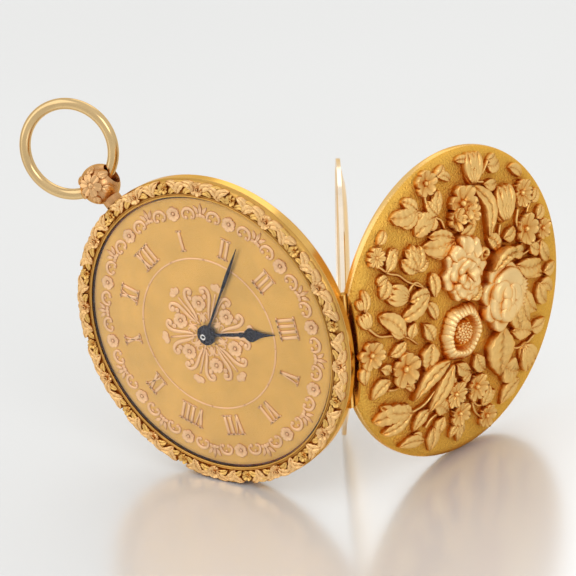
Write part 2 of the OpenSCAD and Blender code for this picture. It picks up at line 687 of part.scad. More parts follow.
module screw(p, z, r) {
    difference() {
        union() {
            disc(p, screw_r, plate_front - 0.2, z - eps);
            disc(p, r, z, z - screw_head_t);
        }
        at(p, z - screw_head_t - 1) rotate([0, 0, 40]) translate([-2, -0.09, 0])
            cube([4, 0.18, 1.08]);
    }
}
module bar_screws() color(blue) in_movement() {
    for (p = [middle_foot, third_foot, fourth_foot, barrel_foot_a, barrel_foot_b])
        screw(p, bar_back, screw_head_r);
    screw(escape_foot, escape_cock_back, 0.55);
    for (a = [110, -70]) screw(balance_foot + polar(0.75, a), cock_back, 0.6);
}
module case_screws() color(blue) in_movement() for (a = [60, 262])
    screw(polar(17.35, a), -hinge_drop - seat, 0.95);
module jewel_holes() color("crimson") in_movement() {
    for (p = [third_at, fourth_at]) ring(p, jewel_r, pivot_r + fit, bar_back, bar_back - 0.1);
    ring(balance_at, 0.6, pivot_r + fit, cock_back, cock_back - 0.1);
}

// Key-wound barrel and its click work
module barrel_drum() color(gilt) in_movement() difference() {
    union() {
        at(barrel_at, barrel_z - 0.22) linear_extrude(0.22) gear(barrel_n, barrel_m, 0);
        disc(barrel_at, barrel_pr - 0.5, barrel_z, barrel_z - 0.78);
    }
    disc(barrel_at, barrel_pr - 0.75, barrel_z - 0.22, -5);
    disc(barrel_at, 0.5 + fit, -5, 1);
}
module barrel_lid() color(gilt) in_movement()
    ring(barrel_at, barrel_pr - 0.5, 0.5 + fit, barrel_z - 0.8, barrel_z - 0.92);
main_pitch = (barrel_pr - 0.75 - 1.5 - 0.5) / main_coils;
module mainspring() color(steel) in_movement() at(barrel_at, barrel_z - 0.7) linear_extrude(0.4) {
    steps = 20;
    turns = main_coils * 360;
    r = function(a) 1.75 + main_pitch * a / 360;
    polygon(concat(
        [for (i = [0 : main_coils * steps]) let (a = i * 360 / steps) polar(r(a) + 0.07, a)],
        [for (i = [main_coils * steps : -1 : 0]) let (a = i * 360 / steps) polar(r(a) - 0.07, a)]));
}
module barrel_arbor() color(steel) in_movement() {
    disc(barrel_at, 0.5, barrel_z - 0.24, 0.15);
    disc(barrel_at, 1.5, barrel_z - 0.24, barrel_z - 0.76);
    disc(barrel_at, 0.5, barrel_z - 0.7, bar_front - 0.02);
    disc(barrel_at, 0.6, bar_front - 0.02, bar_back - 0.05);
    at(barrel_at, square_z) translate([-0.5, -0.5, 0]) cube([1, 1, bar_back - 0.05 - square_z]);
}
ratchet_n = 24;
ratchet_r = 2.5;
module ratchet_wheel() color(steel) in_movement() at(barrel_at, bar_back - 0.25) difference() {
    linear_extrude(0.2) polygon([for (i = [0 : ratchet_n - 1], k = [0, 1])
        polar(k == 0 ? ratchet_r - 0.35 : ratchet_r, (i + k * 0.12) * 360 / ratchet_n)]);
    translate([-0.5 - fit, -0.5 - fit, -1]) cube([1 + 2 * fit, 1 + 2 * fit, 3]);
}
click_dir = 167;
module click() color(steel) in_movement() difference() {
    union() {
        disc(click_at, 0.6, bar_back - 0.05, bar_back - 0.25);
        at(click_at, bar_back - 0.25) rotate([0, 0, click_dir]) linear_extrude(0.2)
            polygon([[0, -0.45], [0, 0.45], [1.5, 0.2], [2.2, 0], [1.5, -0.26]]);
    }
    disc(click_at, 0.3 + fit, bar_back, bar_back - 1);
}
module click_spring() color(steel) in_movement() {
    a = barrel_at + polar(4.25, 100);
    b = barrel_at + polar(3.85, 36);
    disc(a, 0.4, bar_back, bar_back - 0.22);
    arm(a, b, 0.1, bar_back - 0.04, bar_back - 0.22);
}

// Going train
module middle_wheel() color(gilt) in_movement() {
    pinion(middle_at, middle_pin_n, barrel_m, middle_pin_turn, barrel_z - 0.02, middle_wheel_z - eps);
    crossed_wheel(middle_at, middle_n, middle_m, middle_wheel_z - 0.17, 0.17, 5);
    disc(middle_at, middle_arbor_r + 0.2, middle_wheel_z - 0.17, bar_front + 0.03);
    disc(middle_at, middle_arbor_r, bar_back - 0.05, motion_floor + 0.02);
    disc(middle_at, middle_arbor_r - 0.05, motion_floor, minute_z - 0.05);
    at(middle_at, square_z) translate([-0.4, -0.4, 0]) cube([0.8, 0.8, bar_back - 0.05 - square_z]);
}
module third_wheel() color(gilt) in_movement() {
    disc(third_at, pivot_r, 0.05, bar_back + 0.02);
    disc(third_at, arbor_r, plate_back - 0.05, bar_front + 0.05);
    pinion(third_at, third_pin_n, middle_m, third_pin_turn, middle_wheel_z + 0.06, middle_wheel_z - 0.24);
    crossed_wheel(third_at, third_n, third_m, third_wheel_z - wheel_t, wheel_t, 4);
}
module fourth_wheel() color(gilt) in_movement() {
    disc(fourth_at, pivot_r, 0.05, bar_back + 0.02);
    disc(fourth_at, arbor_r, plate_back - 0.05, bar_front + 0.05);
    pinion(fourth_at, fourth_pin_n, third_m, fourth_pin_turn, third_wheel_z + 0.05, third_wheel_z - 0.2);
    crossed_wheel(fourth_at, fourth_n, fourth_m, fourth_wheel_z - wheel_t, wheel_t, 4);
}
module escape_wheel() color(steel) in_movement() {
    disc(escape_at, pivot_r, escape_floor + 0.15, escape_cock_back + 0.02);
    disc(escape_at, arbor_r - 0.06, escape_floor - 0.06, escape_cock_front + 0.05);
    pinion(escape_at, escape_pin_n, fourth_m, escape_pin_turn, fourth_wheel_z + 0.05, fourth_wheel_z - 0.19);
    at(escape_at, escape_wheel_z - 0.12) linear_extrude(0.12) {
        difference() {
            polygon([for (i = [0 : escape_n - 1], k = [0 : 2]) polar(
                [escape_r, escape_r - 0.35, escape_r - 0.7][k], (i + [0, 0.4, 0.5][k]) * 360 / escape_n)]);
            circle(r = escape_r - 1);
        }
        circle(r = 0.5);
        for (i = [0 : 2]) rotate([0, 0, i * 120 + 8]) translate([0, -0.12]) square([escape_r - 0.9, 0.24]);
    }
}

// Motion work under the dial
module cannon_pinion() color(steel) in_movement() {
    at(middle_at, motion_floor + 0.06) linear_extrude(0.24) difference() {
        gear(cannon_n, cannon_m, 0, 0.36);
        circle(r = middle_arbor_r - 0.05 + fit);
    }
    ring(middle_at, pipe_r, middle_arbor_r - 0.05 + fit, motion_floor + 0.2, pipe_top);
}
module minute_wheel() color(gilt) in_movement() difference() {
    union() {
        at(minute_at, motion_floor + 0.06) linear_extrude(0.15) gear(minute_n, cannon_m, minute_turn);
        pinion(minute_at, minute_pin_n, hour_m, 0, motion_floor + 0.2, plate_front);
    }
    disc(minute_at, 0.25 + fit, -2, 2);
}
module hour_wheel() color(gilt) in_movement() {
    at(middle_at, motion_floor + 0.38) linear_extrude(0.15) difference() {
        gear(hour_n, hour_m, hour_turn);
        circle(r = pipe_r + fit);
    }
    ring(middle_at, hour_pipe_r - fit, pipe_r + fit, motion_floor + 0.5, hour_z + hand_t);
}

// Balance, its cylinder staff, flat spring and index
module balance_wheel() color(gilt) in_movement() at(balance_at, balance_z - 0.35) {
    difference() {
        cylinder(r = balance_r, h = 0.35);
        translate([0, 0, -1]) cylinder(r = balance_r - balance_rim_w, h = 3);
    }
    linear_extrude(0.17) difference() {
        union() {
            circle(r = 0.9);
            for (i = [0 : 2]) rotate([0, 0, 120 * i + 20]) translate([0, -0.22])
                square([balance_r - balance_rim_w + 0.1, 0.44]);
        }
        circle(r = 0.28);
    }
}
module balance_staff() color(steel) in_movement() {
    disc(balance_at, pivot_r, escape_floor + 0.15, cock_back + 0.02);
    disc(balance_at, 0.27, escape_floor - 0.05, cock_back + cock_t + 0.04);
    difference() {
        disc(balance_at, cylinder_r, escape_floor - 0.05, escape_floor - 0.4);
        at(balance_at + polar(0.2, balance_dir + 180), escape_floor - 0.32)
            rotate([0, 0, balance_dir + 180]) translate([0, -1, 0]) cube([1, 2, 0.2]);
    }
    disc(balance_at, 0.55, balance_z - 0.36, balance_z - 0.5);
}
spring_in = 0.75;
spring_pitch = 0.5;
spring_w = 0.08;
spring_z = cock_back + cock_t + 0.12;
module balance_spring() color(blue) in_movement() at(balance_at, spring_z) linear_extrude(0.18) {
    steps = 24;
    last = spring_coils * steps;
    r = function(i) spring_in + spring_pitch * i / steps;
    echo(least_gap_between_coils = spring_pitch - spring_w);
    polygon(concat([for (i = [0 : last]) polar(r(i) + spring_w / 2, i * 360 / steps)],
        [for (i = [last : -1 : 0]) polar(r(i) - spring_w / 2, i * 360 / steps)]));
}
module spring_stud() color(steel) in_movement()
    disc(balance_at + polar(spring_in + spring_pitch * spring_coils + 0.32, 0), 0.25,
        cock_back + cock_t - 0.02, spring_z - 0.06);
module regulator() color(steel) in_movement() difference() {
    union() {
        disc(balance_at, 1.25, cock_back - seat, cock_back - 0.14);
        arm(balance_at, balance_at + polar(3.3, 60), 0.2, cock_back - seat, cock_back - 0.14);
        arm(balance_at, balance_at + polar(2.6, 240), 0.16, cock_back - seat, cock_back - 0.14);
    }
    disc(balance_at, 0.6 + fit, cock_back + 1, cock_back - 1);
}

// Back cover, drawn shut and then swung open
cap_r = function(rise) (pow(cover_r - cover_edge_r, 2) + rise * rise) / (2 * rise);
cap_rise = cover_dome - cover_skirt - cover_edge_r;
function cap_drop(r) = cap_r(cap_rise) - sqrt(pow(cap_r(cap_rise), 2) - r * r);
function cover_depth(r) = cover_dome - cap_drop(r);
module cover_half(inset) {
    steps = 10;
    edge = cover_edge_r - inset;
    polygon(concat([[0, 1], [cover_r - inset, 1], [cover_r - inset, -cover_skirt]],
        [for (i = [1 : steps]) let (a = 88 * i / steps)
            [cover_r - cover_edge_r + edge * cos(a), -cover_skirt - edge * sin(a)]],
        [for (i = [steps : -1 : 0]) let (r = (cover_r - cover_edge_r) * i / (steps + 1))
            [r, inset - cover_depth(r)]]));
}
module cover_shape() {
    translate([0, 0, -hinge_drop]) rotate_extrude() intersection() {
        difference() { cover_half(0); cover_half(cover_wall); }
        translate([0, -20]) square([40, 20 - seat - fit]);
    }
}
module back_cover() color(gold) cover_placed() {
    edge_x = hinge_x - 0.1;
    difference() {
        union() {
            difference() {
                cover_shape();
                translate([edge_x, -20, -20]) cube([20, 40, 40]);
            }
            intersection() {
                translate([edge_x - 0.5, -hinge_len / 2 + 0.1, -20])
                    cube([0.5, hinge_len - 0.2, 20 - hinge_drop - seat - fit]);
                translate([0, 0, -hinge_drop]) rotate_extrude() cover_half(0);
            }
        }
        cover_knuckle_spans(true) widened(swing_gap) knuckle(hinge_x, -hinge_drop, knuckle_r + run);
        rod_y(hinge_x, -hinge_drop, hinge_pin_r + fit, -hinge_len, hinge_len);
    }
    cover_knuckle_spans(false) difference() {
        union() {
            knuckle(hinge_x, -hinge_drop, knuckle_r);
            block(edge_x - 0.3, hinge_x, -hinge_drop - knuckle_r, -hinge_drop - hinge_pin_r - 0.1);
        }
        widened(1) knuckle(hinge_x, -hinge_drop, hinge_pin_r + fit);
    }
}

// Flowers of the back cover, each laid square on the dome
module on_cover(x, y, turn) {
    k = flower_spread;
    r = k * max(norm([x, y]), 0.001);
    translate([k * x, k * y, -hinge_drop - cover_depth(r)])
        rotate(a = asin(r / cap_r(cap_rise)), v = [y, -x, 0])
            mirror([0, 0, 1]) scale([k, k, 1]) rotate([0, 0, turn]) children();
}
module bloom(r, petals, h) {
    size = min(0.36 * r, 0.6 * r * tan(180 / petals));
    for (i = [0 : petals - 1]) rotate([0, 0, i * 360 / petals + 5])
        translate([r - size, 0, -0.1]) cylinder(r = size, h = h * 0.6 + 0.1);
    translate([0, 0, -0.1]) cylinder(r = r * 0.62, h = h * 0.45 + 0.1);
    translate([0, 0, -0.1]) cylinder(r1 = 0.45 * r, r2 = 0.25 * r, h = h + 0.1);
}
module full_rose(r, h) {
    translate([0, 0, -0.1]) cylinder(r1 = r, r2 = r * 0.55, h = h + 0.1);
    for (i = [0 : 4]) rotate([0, 0, i * 72 + 20]) translate([0.8 * r, 0, -0.1])
        cylinder(r = 0.4 * r, h = h * 0.4 + 0.1);
}
module tulip(l, w, h) {
    for (s = [-1, 0, 1]) rotate([0, 0, s * 12]) translate([0, s * w * 0.22, 0]) leaf(l, w * 0.6, h);
}
module stem(p, q) {
    d = q - p;
    mid = (p + q) / 2;
    on_cover(mid[0], mid[1], atan2(d[1], d[0])) translate([-norm(d) / 2, -0.17, -0.15])
        cube([norm(d), 0.34, 0.42]);
}
big_blooms = [[2.3, -2.6, 4], [1.6, 5.6, 3.4]];
blooms = [[6.5, 18.3, 1.5, 5], [0.7, 14.3, 2.3, 6], [-2.2, 18, 1.6, 7], [-12.3, 12.3, 2.0, 6],
    [9.8, 9.9, 1.9, 6], [18, -0.4, 1.5, 5], [12.5, -4.7, 1.9, 5], [-0.3, -11.9, 1.7, 6],
    [3.7, -11.3, 1.6, 5], [2.5, -14.8, 1.5, 5], [-12.2, -11.1, 1.9, 6], [-3.4, -17.9, 1.5, 6],
    [-12, 7.6, 1.5, 5], [-16, 6.2, 1.4, 5], [-6.2, 15.9, 1.3, 5]];
buds = [[14.9, 10.8, 1.1], [13.2, 5.4, 1.4], [18.2, 3.8, 1], [13.2, 13.3, 0.8]];
leaves = [[9.4, 12.8, 65, 3.6, 2], [8.2, 12.2, 60, 3.6, 1.9], [4.4, 13.6, 80, 4.2, 1.7],
    [3.4, 17.8, 20, 2.4, 1.2], [5.1, 9, 85, 4, 3.4], [13.7, 9.4, 80, 3.2, 1.4],
    [15.6, 9, 200, 2.6, 1.5], [7.2, 3.4, 95, 3.6, 1.3], [10.6, 2.2, 60, 4.4, 2.1],
    [13.8, 3.1, 225, 4.6, 1.8], [10.6, -0.8, 70, 2.9, 1.5], [8, -2.2, 90, 3.6, 1.5],
    [8.2, -4.4, 280, 3.6, 2], [18.4, -2.1, 275, 2.9, 1.3], [16.2, -4.2, 240, 4.2, 1.6],
    [5.4, -5.6, 235, 8, 1.5], [4.2, -6.4, 250, 9, 1.4], [12, -14.6, 190, 4, 1.4],
    [7.9, -14.1, 265, 3.8, 1.6], [5.8, -13.2, 290, 4.2, 1.4], [-4.4, -5.8, 255, 5, 3.2],
    [-7.2, -9.4, 260, 4.4, 2.8], [-7.6, -13, 240, 4.2, 1.8], [3, -16.1, 280, 3.1, 1.4],
    [-11, 3.2, 160, 4.6, 1.9], [-11.4, 0.8, 190, 4.6, 1.8], [-16.4, 2.6, 250, 3.8, 1.6],
    [-15.2, -1.4, 265, 3.8, 1.6], [-10.6, -3.4, 215, 4.8, 2.6], [-11.6, -6.2, 240, 4.6, 2.6],
    [-3.6, 9.4, 82, 6.4, 1.9], [-13, -2.2, 300, 3.4, 1.6], [-16.4, -4.9, 250, 3.5, 1.5],
    [-8, 16.9, 200, 3.5, 1.5], [-14, 8.6, 140, 3.1, 1.4], [-1.4, 9.6, 110, 3.6, 1.5],
    [-9.6, 9.6, 200, 3.4, 1.5], [-14.2, -8.4, 250, 3.4, 1.5]];
tulips = [[-7.4, 8.4, 95, 6.2, 3.0], [12.6, -10.2, 185, 5.0, 3.0]];
stems = [[[6.5, 17], [5.2, 12]], [[9.6, 13.4], [5.2, 12]], [[15.6, 11], [12.4, 7.6]],
    [[12.4, 7.6], [8, 6.6]], [[9.9, 8], [9.4, 6.4]], [[17.8, 3.4], [14.4, 0.2]],
    [[14.4, 0.2], [8.6, -0.2]], [[-2, 16.2], [-1, 11.6]], [[-11.4, 10.6], [-9.6, 4]],
    [[10.8, -10.2], [7.6, -8]], [[-0.6, -13], [0.4, -16.6]], [[-11, -9.6], [-8.6, -5.8]],
    [[-15.6, 4.8], [-11, 2.2]], [[-7, 8.6], [-6.2, 4.6]]];
module cover_flowers() color(pale_gold) cover_placed() {
    on_cover(-6.6, -0.2, 10) full_rose(4.1, 1.3);
    on_cover(big_blooms[0][0], big_blooms[0][1], 0) bloom(big_blooms[0][2], 13, 1.0);
    on_cover(big_blooms[1][0], big_blooms[1][1], 0) bloom(big_blooms[1][2], 7, 1.1);
    for (b = blooms) on_cover(b[0], b[1], 17 * b[2]) bloom(b[2], b[3], 0.62);
    for (b = buds) on_cover(b[0], b[1], 0)
        translate([0, 0, -0.1]) cylinder(r1 = b[2], r2 = b[2] * 0.55, h = 0.7);
    for (l = leaves) on_cover(l[0], l[1], l[2]) leaf(l[3], l[4], 0.45);
    for (t = tulips) on_cover(t[0], t[1], t[2]) tulip(t[3], t[4], 0.7);
    for (s = stems) stem(s[0], s[1]);
}

// Inner cover, drawn shut and then swung open
module inner_profile(t, extra) {
    polygon([[0, 0.01 + extra], [0, -inner_dish - t], [inner_r * 0.73, -inner_dish + 0.1 - t],
        [inner_r * 0.82, -inner_dish + 0.27 - t], [inner_r * 0.87, -inner_dish + 0.5 - t],
        [inner_r * 0.925, -inner_dish + 0.82 - t * 1.2], [inner_r - 0.75 + t * 0.6, extra]]);
}
module inner_cover() color(rose) inner_placed() {
    edge_x = inner_hinge_x - inner_knuckle_r - 0.1;
    hole_at = [for (p = [calibre * barrel_at, calibre * middle_at])
        [p[0] * cos(inner_turn) - p[1] * sin(inner_turn), p[0] * sin(inner_turn) + p[1] * cos(inner_turn)]];
    translate([0, 0, inner_z]) difference() {
        union() {
            difference() {
                union() {
                    rotate_extrude() inner_profile(inner_wall, 0);
                    translate([0, 0, -inner_rim_t]) cylinder(r = inner_r, h = inner_rim_t);
                    for (p = hole_at) disc(p, keyhole_r + keyhole_rim, -inner_dish + 0.1,
                        -inner_dish - inner_wall - keyhole_rise);
                }
                translate([0, 0, 0.001]) rotate_extrude() inner_profile(0, 0.5);
                translate([edge_x, -inner_hinge_len / 2 - 0.3, -5]) cube([5, inner_hinge_len + 0.6, 10]);
                for (p = hole_at) disc(p, keyhole_r, 1, -5);
            }
            inner_knuckle_spans(false) {
                knuckle(inner_hinge_x, 0, inner_knuckle_r);
                block(edge_x - 0.4, inner_hinge_x, -inner_knuckle_r, -0.05);
            }
        }
        rod_y(inner_hinge_x, 0, inner_pin_r + fit, -inner_hinge_len, inner_hinge_len);
    }
}

case_band();
cover_hinge_pin();
inner_hinge_pin();
pendant();
pendant_flower();
bezel();
bezel_garland();
crystal();
dial();
hour_numerals();
dial_border();
dial_rosette();
main_plate();
barrel_bar();
middle_bar();
third_bar();
fourth_bar();
escape_cock();
balance_cock();
bar_screws();
case_screws();
jewel_holes();
spring_stud();
click_spring();
click();
regulator();
middle_wheel();
cannon_pinion();
minute_hand();
hour_wheel();
hour_hand();
minute_wheel();
third_wheel();
fourth_wheel();
escape_wheel();
barrel_drum();
barrel_lid();
mainspring();
barrel_arbor();
ratchet_wheel();
balance_wheel();
balance_staff();
balance_spring();
back_cover();
cover_flowers();
inner_cover();
bow();
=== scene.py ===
# %% [markdown]
# A pocket watch in coloured gold stands open on a pale table. Its back cover is chased with
# flowers, its bezel with a garland, and its dial with applied numerals and scrolls. The packed
# CAD model gives every place and every moving body, and this script dresses it. Loading it comes
# first, because each piece made here rides on one of its bodies.

# %% Load the frame
import math

import bmesh
import bpy
import numpy as np
from mathutils import Matrix, Vector


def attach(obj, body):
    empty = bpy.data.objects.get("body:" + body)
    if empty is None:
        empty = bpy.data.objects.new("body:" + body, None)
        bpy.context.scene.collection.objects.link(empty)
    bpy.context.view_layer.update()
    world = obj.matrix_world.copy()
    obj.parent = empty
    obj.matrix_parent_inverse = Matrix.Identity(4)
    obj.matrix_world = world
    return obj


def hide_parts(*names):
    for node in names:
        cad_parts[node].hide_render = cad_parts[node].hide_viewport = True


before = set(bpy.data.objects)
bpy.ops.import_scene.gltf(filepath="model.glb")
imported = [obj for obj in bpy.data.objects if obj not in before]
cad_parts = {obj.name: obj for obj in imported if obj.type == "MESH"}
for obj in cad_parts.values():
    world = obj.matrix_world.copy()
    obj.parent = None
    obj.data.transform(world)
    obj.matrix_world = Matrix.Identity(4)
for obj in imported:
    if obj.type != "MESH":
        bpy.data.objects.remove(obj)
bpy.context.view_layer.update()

# %% [markdown]
# A watch is round, so it is easier to draw in the case's own frame: millimetres, x towards the
# cover's hinge, y up, z out of the dial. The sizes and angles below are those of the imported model.

# %% Sizes
CASE_R = 21.5  # outer radius of the case
DIAL_TURN = 42.2  # how far XII is turned, anticlockwise from the top
DIAL_FRONT = 0.95  # height of the dial's face
GROUND_Z = 1.28  # height of the sunk ground under the bezel's garland
GARLAND_R = 20.2  # middle line of the garland
GARLAND_EDGE = 21.2  # radius past which its leaves are drawn in
DRAWN_IN = 0.45  # share by which they are drawn in
HINGE_X = 20.07  # place of the cover hinge's pin
HINGE_Z = -1.2
COVER_OPEN = 103.55  # angle at which the cover stands open
DOME_RISE = 3.4  # height of the shut cover's middle over the pin
DOME_R = 149.2  # radius of the sphere that the dome is part of
BALL_REACH = 24.9  # from the watch's middle to that of the pendant's ball
BALL_R = 2.72
STEM_TURN = 41.2  # the pendant's turn, anticlockwise from the top
STEM_DROP = 0.35  # how far the ball sits behind the frame's zero plane
BALL_TWIST = 18  # the ball's turn on its stem
BOW_R = 6.2  # radius of the bow, to the middle of its wire
BOW_WIRE = 0.75  # radius of the wire
BOW_LEAN = 10  # how far the bow leans forward
print("case", 2 * CASE_R, "mm across, cover open by", COVER_OPEN, "degrees")

# %% [markdown]
# Three helpers carry a drawing out of the case's frame. The dial is turned in its case, so the last
# of them turns the drawing until y points to XII, and lays it at a height in that frame.


# %% The case's frame
def turned(p, degrees):
    """The points turned about z, anticlockwise."""
    c, s = math.cos(math.radians(degrees)), math.sin(math.radians(degrees))
    return np.stack([p[..., 0] * c - p[..., 1] * s, p[..., 0] * s + p[..., 1] * c, p[..., 2]], -1)


def case_to_row(p):
    """From the case's frame in millimetres to the shared frame in metres."""
    p = np.asarray(p, float)
    return np.stack([p[..., 0], -p[..., 2], p[..., 1] + CASE_R], -1) / 1000


def on_plane(z, turn=DIAL_TURN):
    """A place on a flat face square to the watch's axis, with y towards XII."""

    def place(p):
        return case_to_row(turned(np.asarray(p, float) + [0, 0, z], turn))

    return place


print("middle of XII at", np.round(on_plane(DIAL_FRONT)([0, 13, 0]) * 1000, 1))

# %% [markdown]
# The cover is a shallow dome on a hinge. A point is laid on the shut dome, and then swung round the
# hinge's pin by the angle at which the cover stands open. So the flowers need only two plain
# coordinates, and one swing carries all of them.


# %% The open cover's frame
def on_cover(p):
    """A place on the shut cover's dome, carried round with the open cover."""
    p = np.asarray(p, float)
    x, y, h = p[..., 0], p[..., 1], p[..., 2]
    level = np.sqrt(np.maximum(1 - (x * x + y * y) / DOME_R**2, 0.01))
    out = DOME_RISE - DOME_R * (1 - level) + h * level
    along = HINGE_X - x * (1 + h / DOME_R)
    c, s = math.cos(math.radians(COVER_OPEN)), math.sin(math.radians(COVER_OPEN))
    rx = HINGE_X - along * c + out * s
    ry = -HINGE_Z + along * s + out * c
    return np.stack([rx, ry, y * (1 + h / DOME_R) + CASE_R], -1) / 1000


print("cover top at", np.round(on_cover([0, 0, 0]) * 1000, 2))

# %% [markdown]
# The bezel's garland is drawn on a straight strip and bent round the rim. The pendant's ball is
# turned a little on its stem, and a flat drawing is pressed on to its front.


# %% The bezel's and the ball's frames
def on_bezel(p):
    """x runs clockwise round the bezel from XII, y out along the radius, both in millimetres.
    Past the edge the leaves are drawn in, so that none reaches beyond the case."""
    p = np.asarray(p, float)
    a = p[..., 0] / GARLAND_R
    r = GARLAND_R + p[..., 1]
    r = r - DRAWN_IN * np.maximum(r - GARLAND_EDGE, 0)
    flat = np.stack([r * np.sin(a), r * np.cos(a), p[..., 2] + GROUND_Z], -1)
    return case_to_row(turned(flat, DIAL_TURN))


def by_ball(p):
    """From the pendant ball's own frame, turned on its stem, to the shared frame."""
    c, s = math.cos(math.radians(BALL_TWIST)), math.sin(math.radians(BALL_TWIST))
    x, y, z = p[..., 0], p[..., 1], p[..., 2]
    at = np.stack([x * c + z * s, y + BALL_REACH, z * c - x * s - STEM_DROP], -1)
    return case_to_row(turned(at, STEM_TURN))


def on_ball(p):
    """A place on the front of the pendant's ball."""
    p = np.asarray(p, float)
    x, y, h = p[..., 0], p[..., 1], p[..., 2]
    out = np.sqrt(np.maximum(BALL_R**2 - x * x - y * y, 0.01))
    d = np.stack([x, y, out], -1)
    return by_ball(d / np.linalg.norm(d, axis=-1, keepdims=True) * (BALL_R + h)[..., None])


print("ball at", np.round(by_ball(np.zeros(3)) * 1000, 2))

# %% [markdown]
# The camera comes early, so that each piece can be looked at as it is made. Its place and lens
# were fitted to the photograph's own perspective: a long lens, to the right of the watch, that
# looks down on it by 21 degrees.

# %% Camera
CAMERA_AT = Vector((0.125202, -0.165807, 0.10753))
RIGHT = Vector((0.84186, 0.53372, -0.0801)).normalized()
BACK = Vector((0.52332, -0.77101, 0.36288)).normalized()
FOCAL_PIXELS = 1692.863  # focal length, in pixels of the photograph
PHOTO_WIDTH = 576  # pixels
SENSOR_WIDTH = 36  # millimetres
camera_data = bpy.data.cameras.new("camera")
camera_data.sensor_fit = "HORIZONTAL"
camera_data.sensor_width = SENSOR_WIDTH
camera_data.lens = FOCAL_PIXELS / PHOTO_WIDTH * SENSOR_WIDTH
camera_data.clip_start = 0.01
camera_data.clip_end = 20
camera = bpy.data.objects.new("camera", camera_data)
bpy.context.scene.collection.objects.link(camera)
turn = Matrix((RIGHT, BACK.cross(RIGHT), BACK)).transposed().to_4x4()
camera.matrix_world = Matrix.Translation(CAMERA_AT) @ turn
bpy.context.scene.camera = camera
print("lens", round(camera_data.lens, 1), "mm")

# %% [markdown]
# Every finish here is a node material. Small helpers keep the node code readable. The first two
# make an empty material and a noise pattern, which is read in the piece's own space, so that it
# stays with the metal when a joint moves.


# %% Material and noise
def new_material(name):
    """An empty node material with its shader and output joined."""
    mat = bpy.data.materials.new(name)
    mat.use_nodes = True
    tree = mat.node_tree
    shader = tree.nodes["Principled BSDF"]
    return mat, tree, shader


def noise(tree, scale, detail=3.0, rough=0.5):
    """A noise pattern in the piece's own space."""
    coords = tree.nodes.new("ShaderNodeTexCoord")
    node = tree.nodes.new("ShaderNodeTexNoise")
    node.inputs["Scale"].default_value = scale
    node.inputs["Detail"].default_value = detail
    node.inputs["Roughness"].default_value = rough
    tree.links.new(coords.outputs["Object"], node.inputs["Vector"])
    return node.outputs["Fac"]


print("materials of the CAD model:", len(bpy.data.materials))

# %% [markdown]
# The other helpers stretch a value to another range, blend two colours, multiply two values and
# turn a height into bump.


# %% Ranges, blends and bump
def spread(tree, value, low, high, to_low, to_high):
    """The value stretched from one range to another, and held there."""
    node = tree.nodes.new("ShaderNodeMapRange")
    node.inputs["From Min"].default_value = low
    node.inputs["From Max"].default_value = high
    node.inputs["To Min"].default_value = to_low
    node.inputs["To Max"].default_value = to_high
    tree.links.new(value, node.inputs["Value"])
    return node.outputs["Result"]


def blended(tree, share, a, b):
    """Colour a where share is 0, and b where it is 1. Each is a colour or a socket."""
    node = tree.nodes.new("ShaderNodeMix")
    node.data_type = "RGBA"
    tree.links.new(share, node.inputs["Factor"])
    for socket, value in ((node.inputs[6], a), (node.inputs[7], b)):
        if isinstance(value, tuple):
            socket.default_value = (*value, 1)
        else:
            tree.links.new(value, socket)
    return node.outputs[2]


def times(tree, a, b):
    """The product of two values."""
    node = tree.nodes.new("ShaderNodeMath")
    node.operation = "MULTIPLY"
    tree.links.new(a, node.inputs[0])
    tree.links.new(b, node.inputs[1])
    return node.outputs[0]


def add_grain(tree, shader, height, depth):
    """Bump from a height value, depth in metres."""
    bump = tree.nodes.new("ShaderNodeBump")
    bump.inputs["Strength"].default_value = 1.0
    bump.inputs["Distance"].default_value = depth
    tree.links.new(height, bump.inputs["Height"])
    tree.links.new(bump.outputs["Normal"], shader.inputs["Normal"])


print("helpers:", [helper.__name__ for helper in (spread, blended, times, add_grain)])

# %% [markdown]
# The cover's front is engraved with a fine grain between its flowers, but its upright rim and its
# inside are polished and paler. The way the surface faces tells them apart: its dot product with
# the dome's axis is near 1 on the front, near 0 on the rim and below 0 inside.


# %% Polish on the cover
def cover_smooth(tree):
    """1 on the cover's upright rim and inside, which are polished, and 0 on its grained front."""
    outwards = (on_cover([0, 0, 1]) - on_cover([0, 0, 0])) * 1000
    facing = tree.nodes.new("ShaderNodeTexCoord")
    towards = tree.nodes.new("ShaderNodeVectorMath")
    towards.operation = "DOT_PRODUCT"
    towards.inputs[1].default_value = tuple(outwards)
    tree.links.new(facing.outputs["Normal"], towards.inputs[0])
    return spread(tree, towards.outputs["Value"], 0.20, 0.32, 1, 0)


print("cover faces", np.round((on_cover([0, 0, 1]) - on_cover([0, 0, 0])) * 1000, 2))

# %% [markdown]
# Chased gold shows two things at once: bright tops and brown hollows. Both are painted light: the brown of
# the hollows is painted shade. It comes from the Ambient Occlusion node, which darkens where surfaces
# crowd together, and from a "rise" value stored on each ornament's points, which keeps the low parts in
# painted shade and leaves the tops bright. The grain is a fine noise that drives both bump and roughness.
# One helper makes every gold, and only its numbers differ.

# %% Gold
GRAZING = (1.0, 0.76, 0.44)  # tint of what gold mirrors at a grazing angle
POLISHED = (0.80, 0.51, 0.19)  # colour of the cover where it is polished
CLOUD_DRIFT = 0.12  # share by which a faint cloud darkens the colour


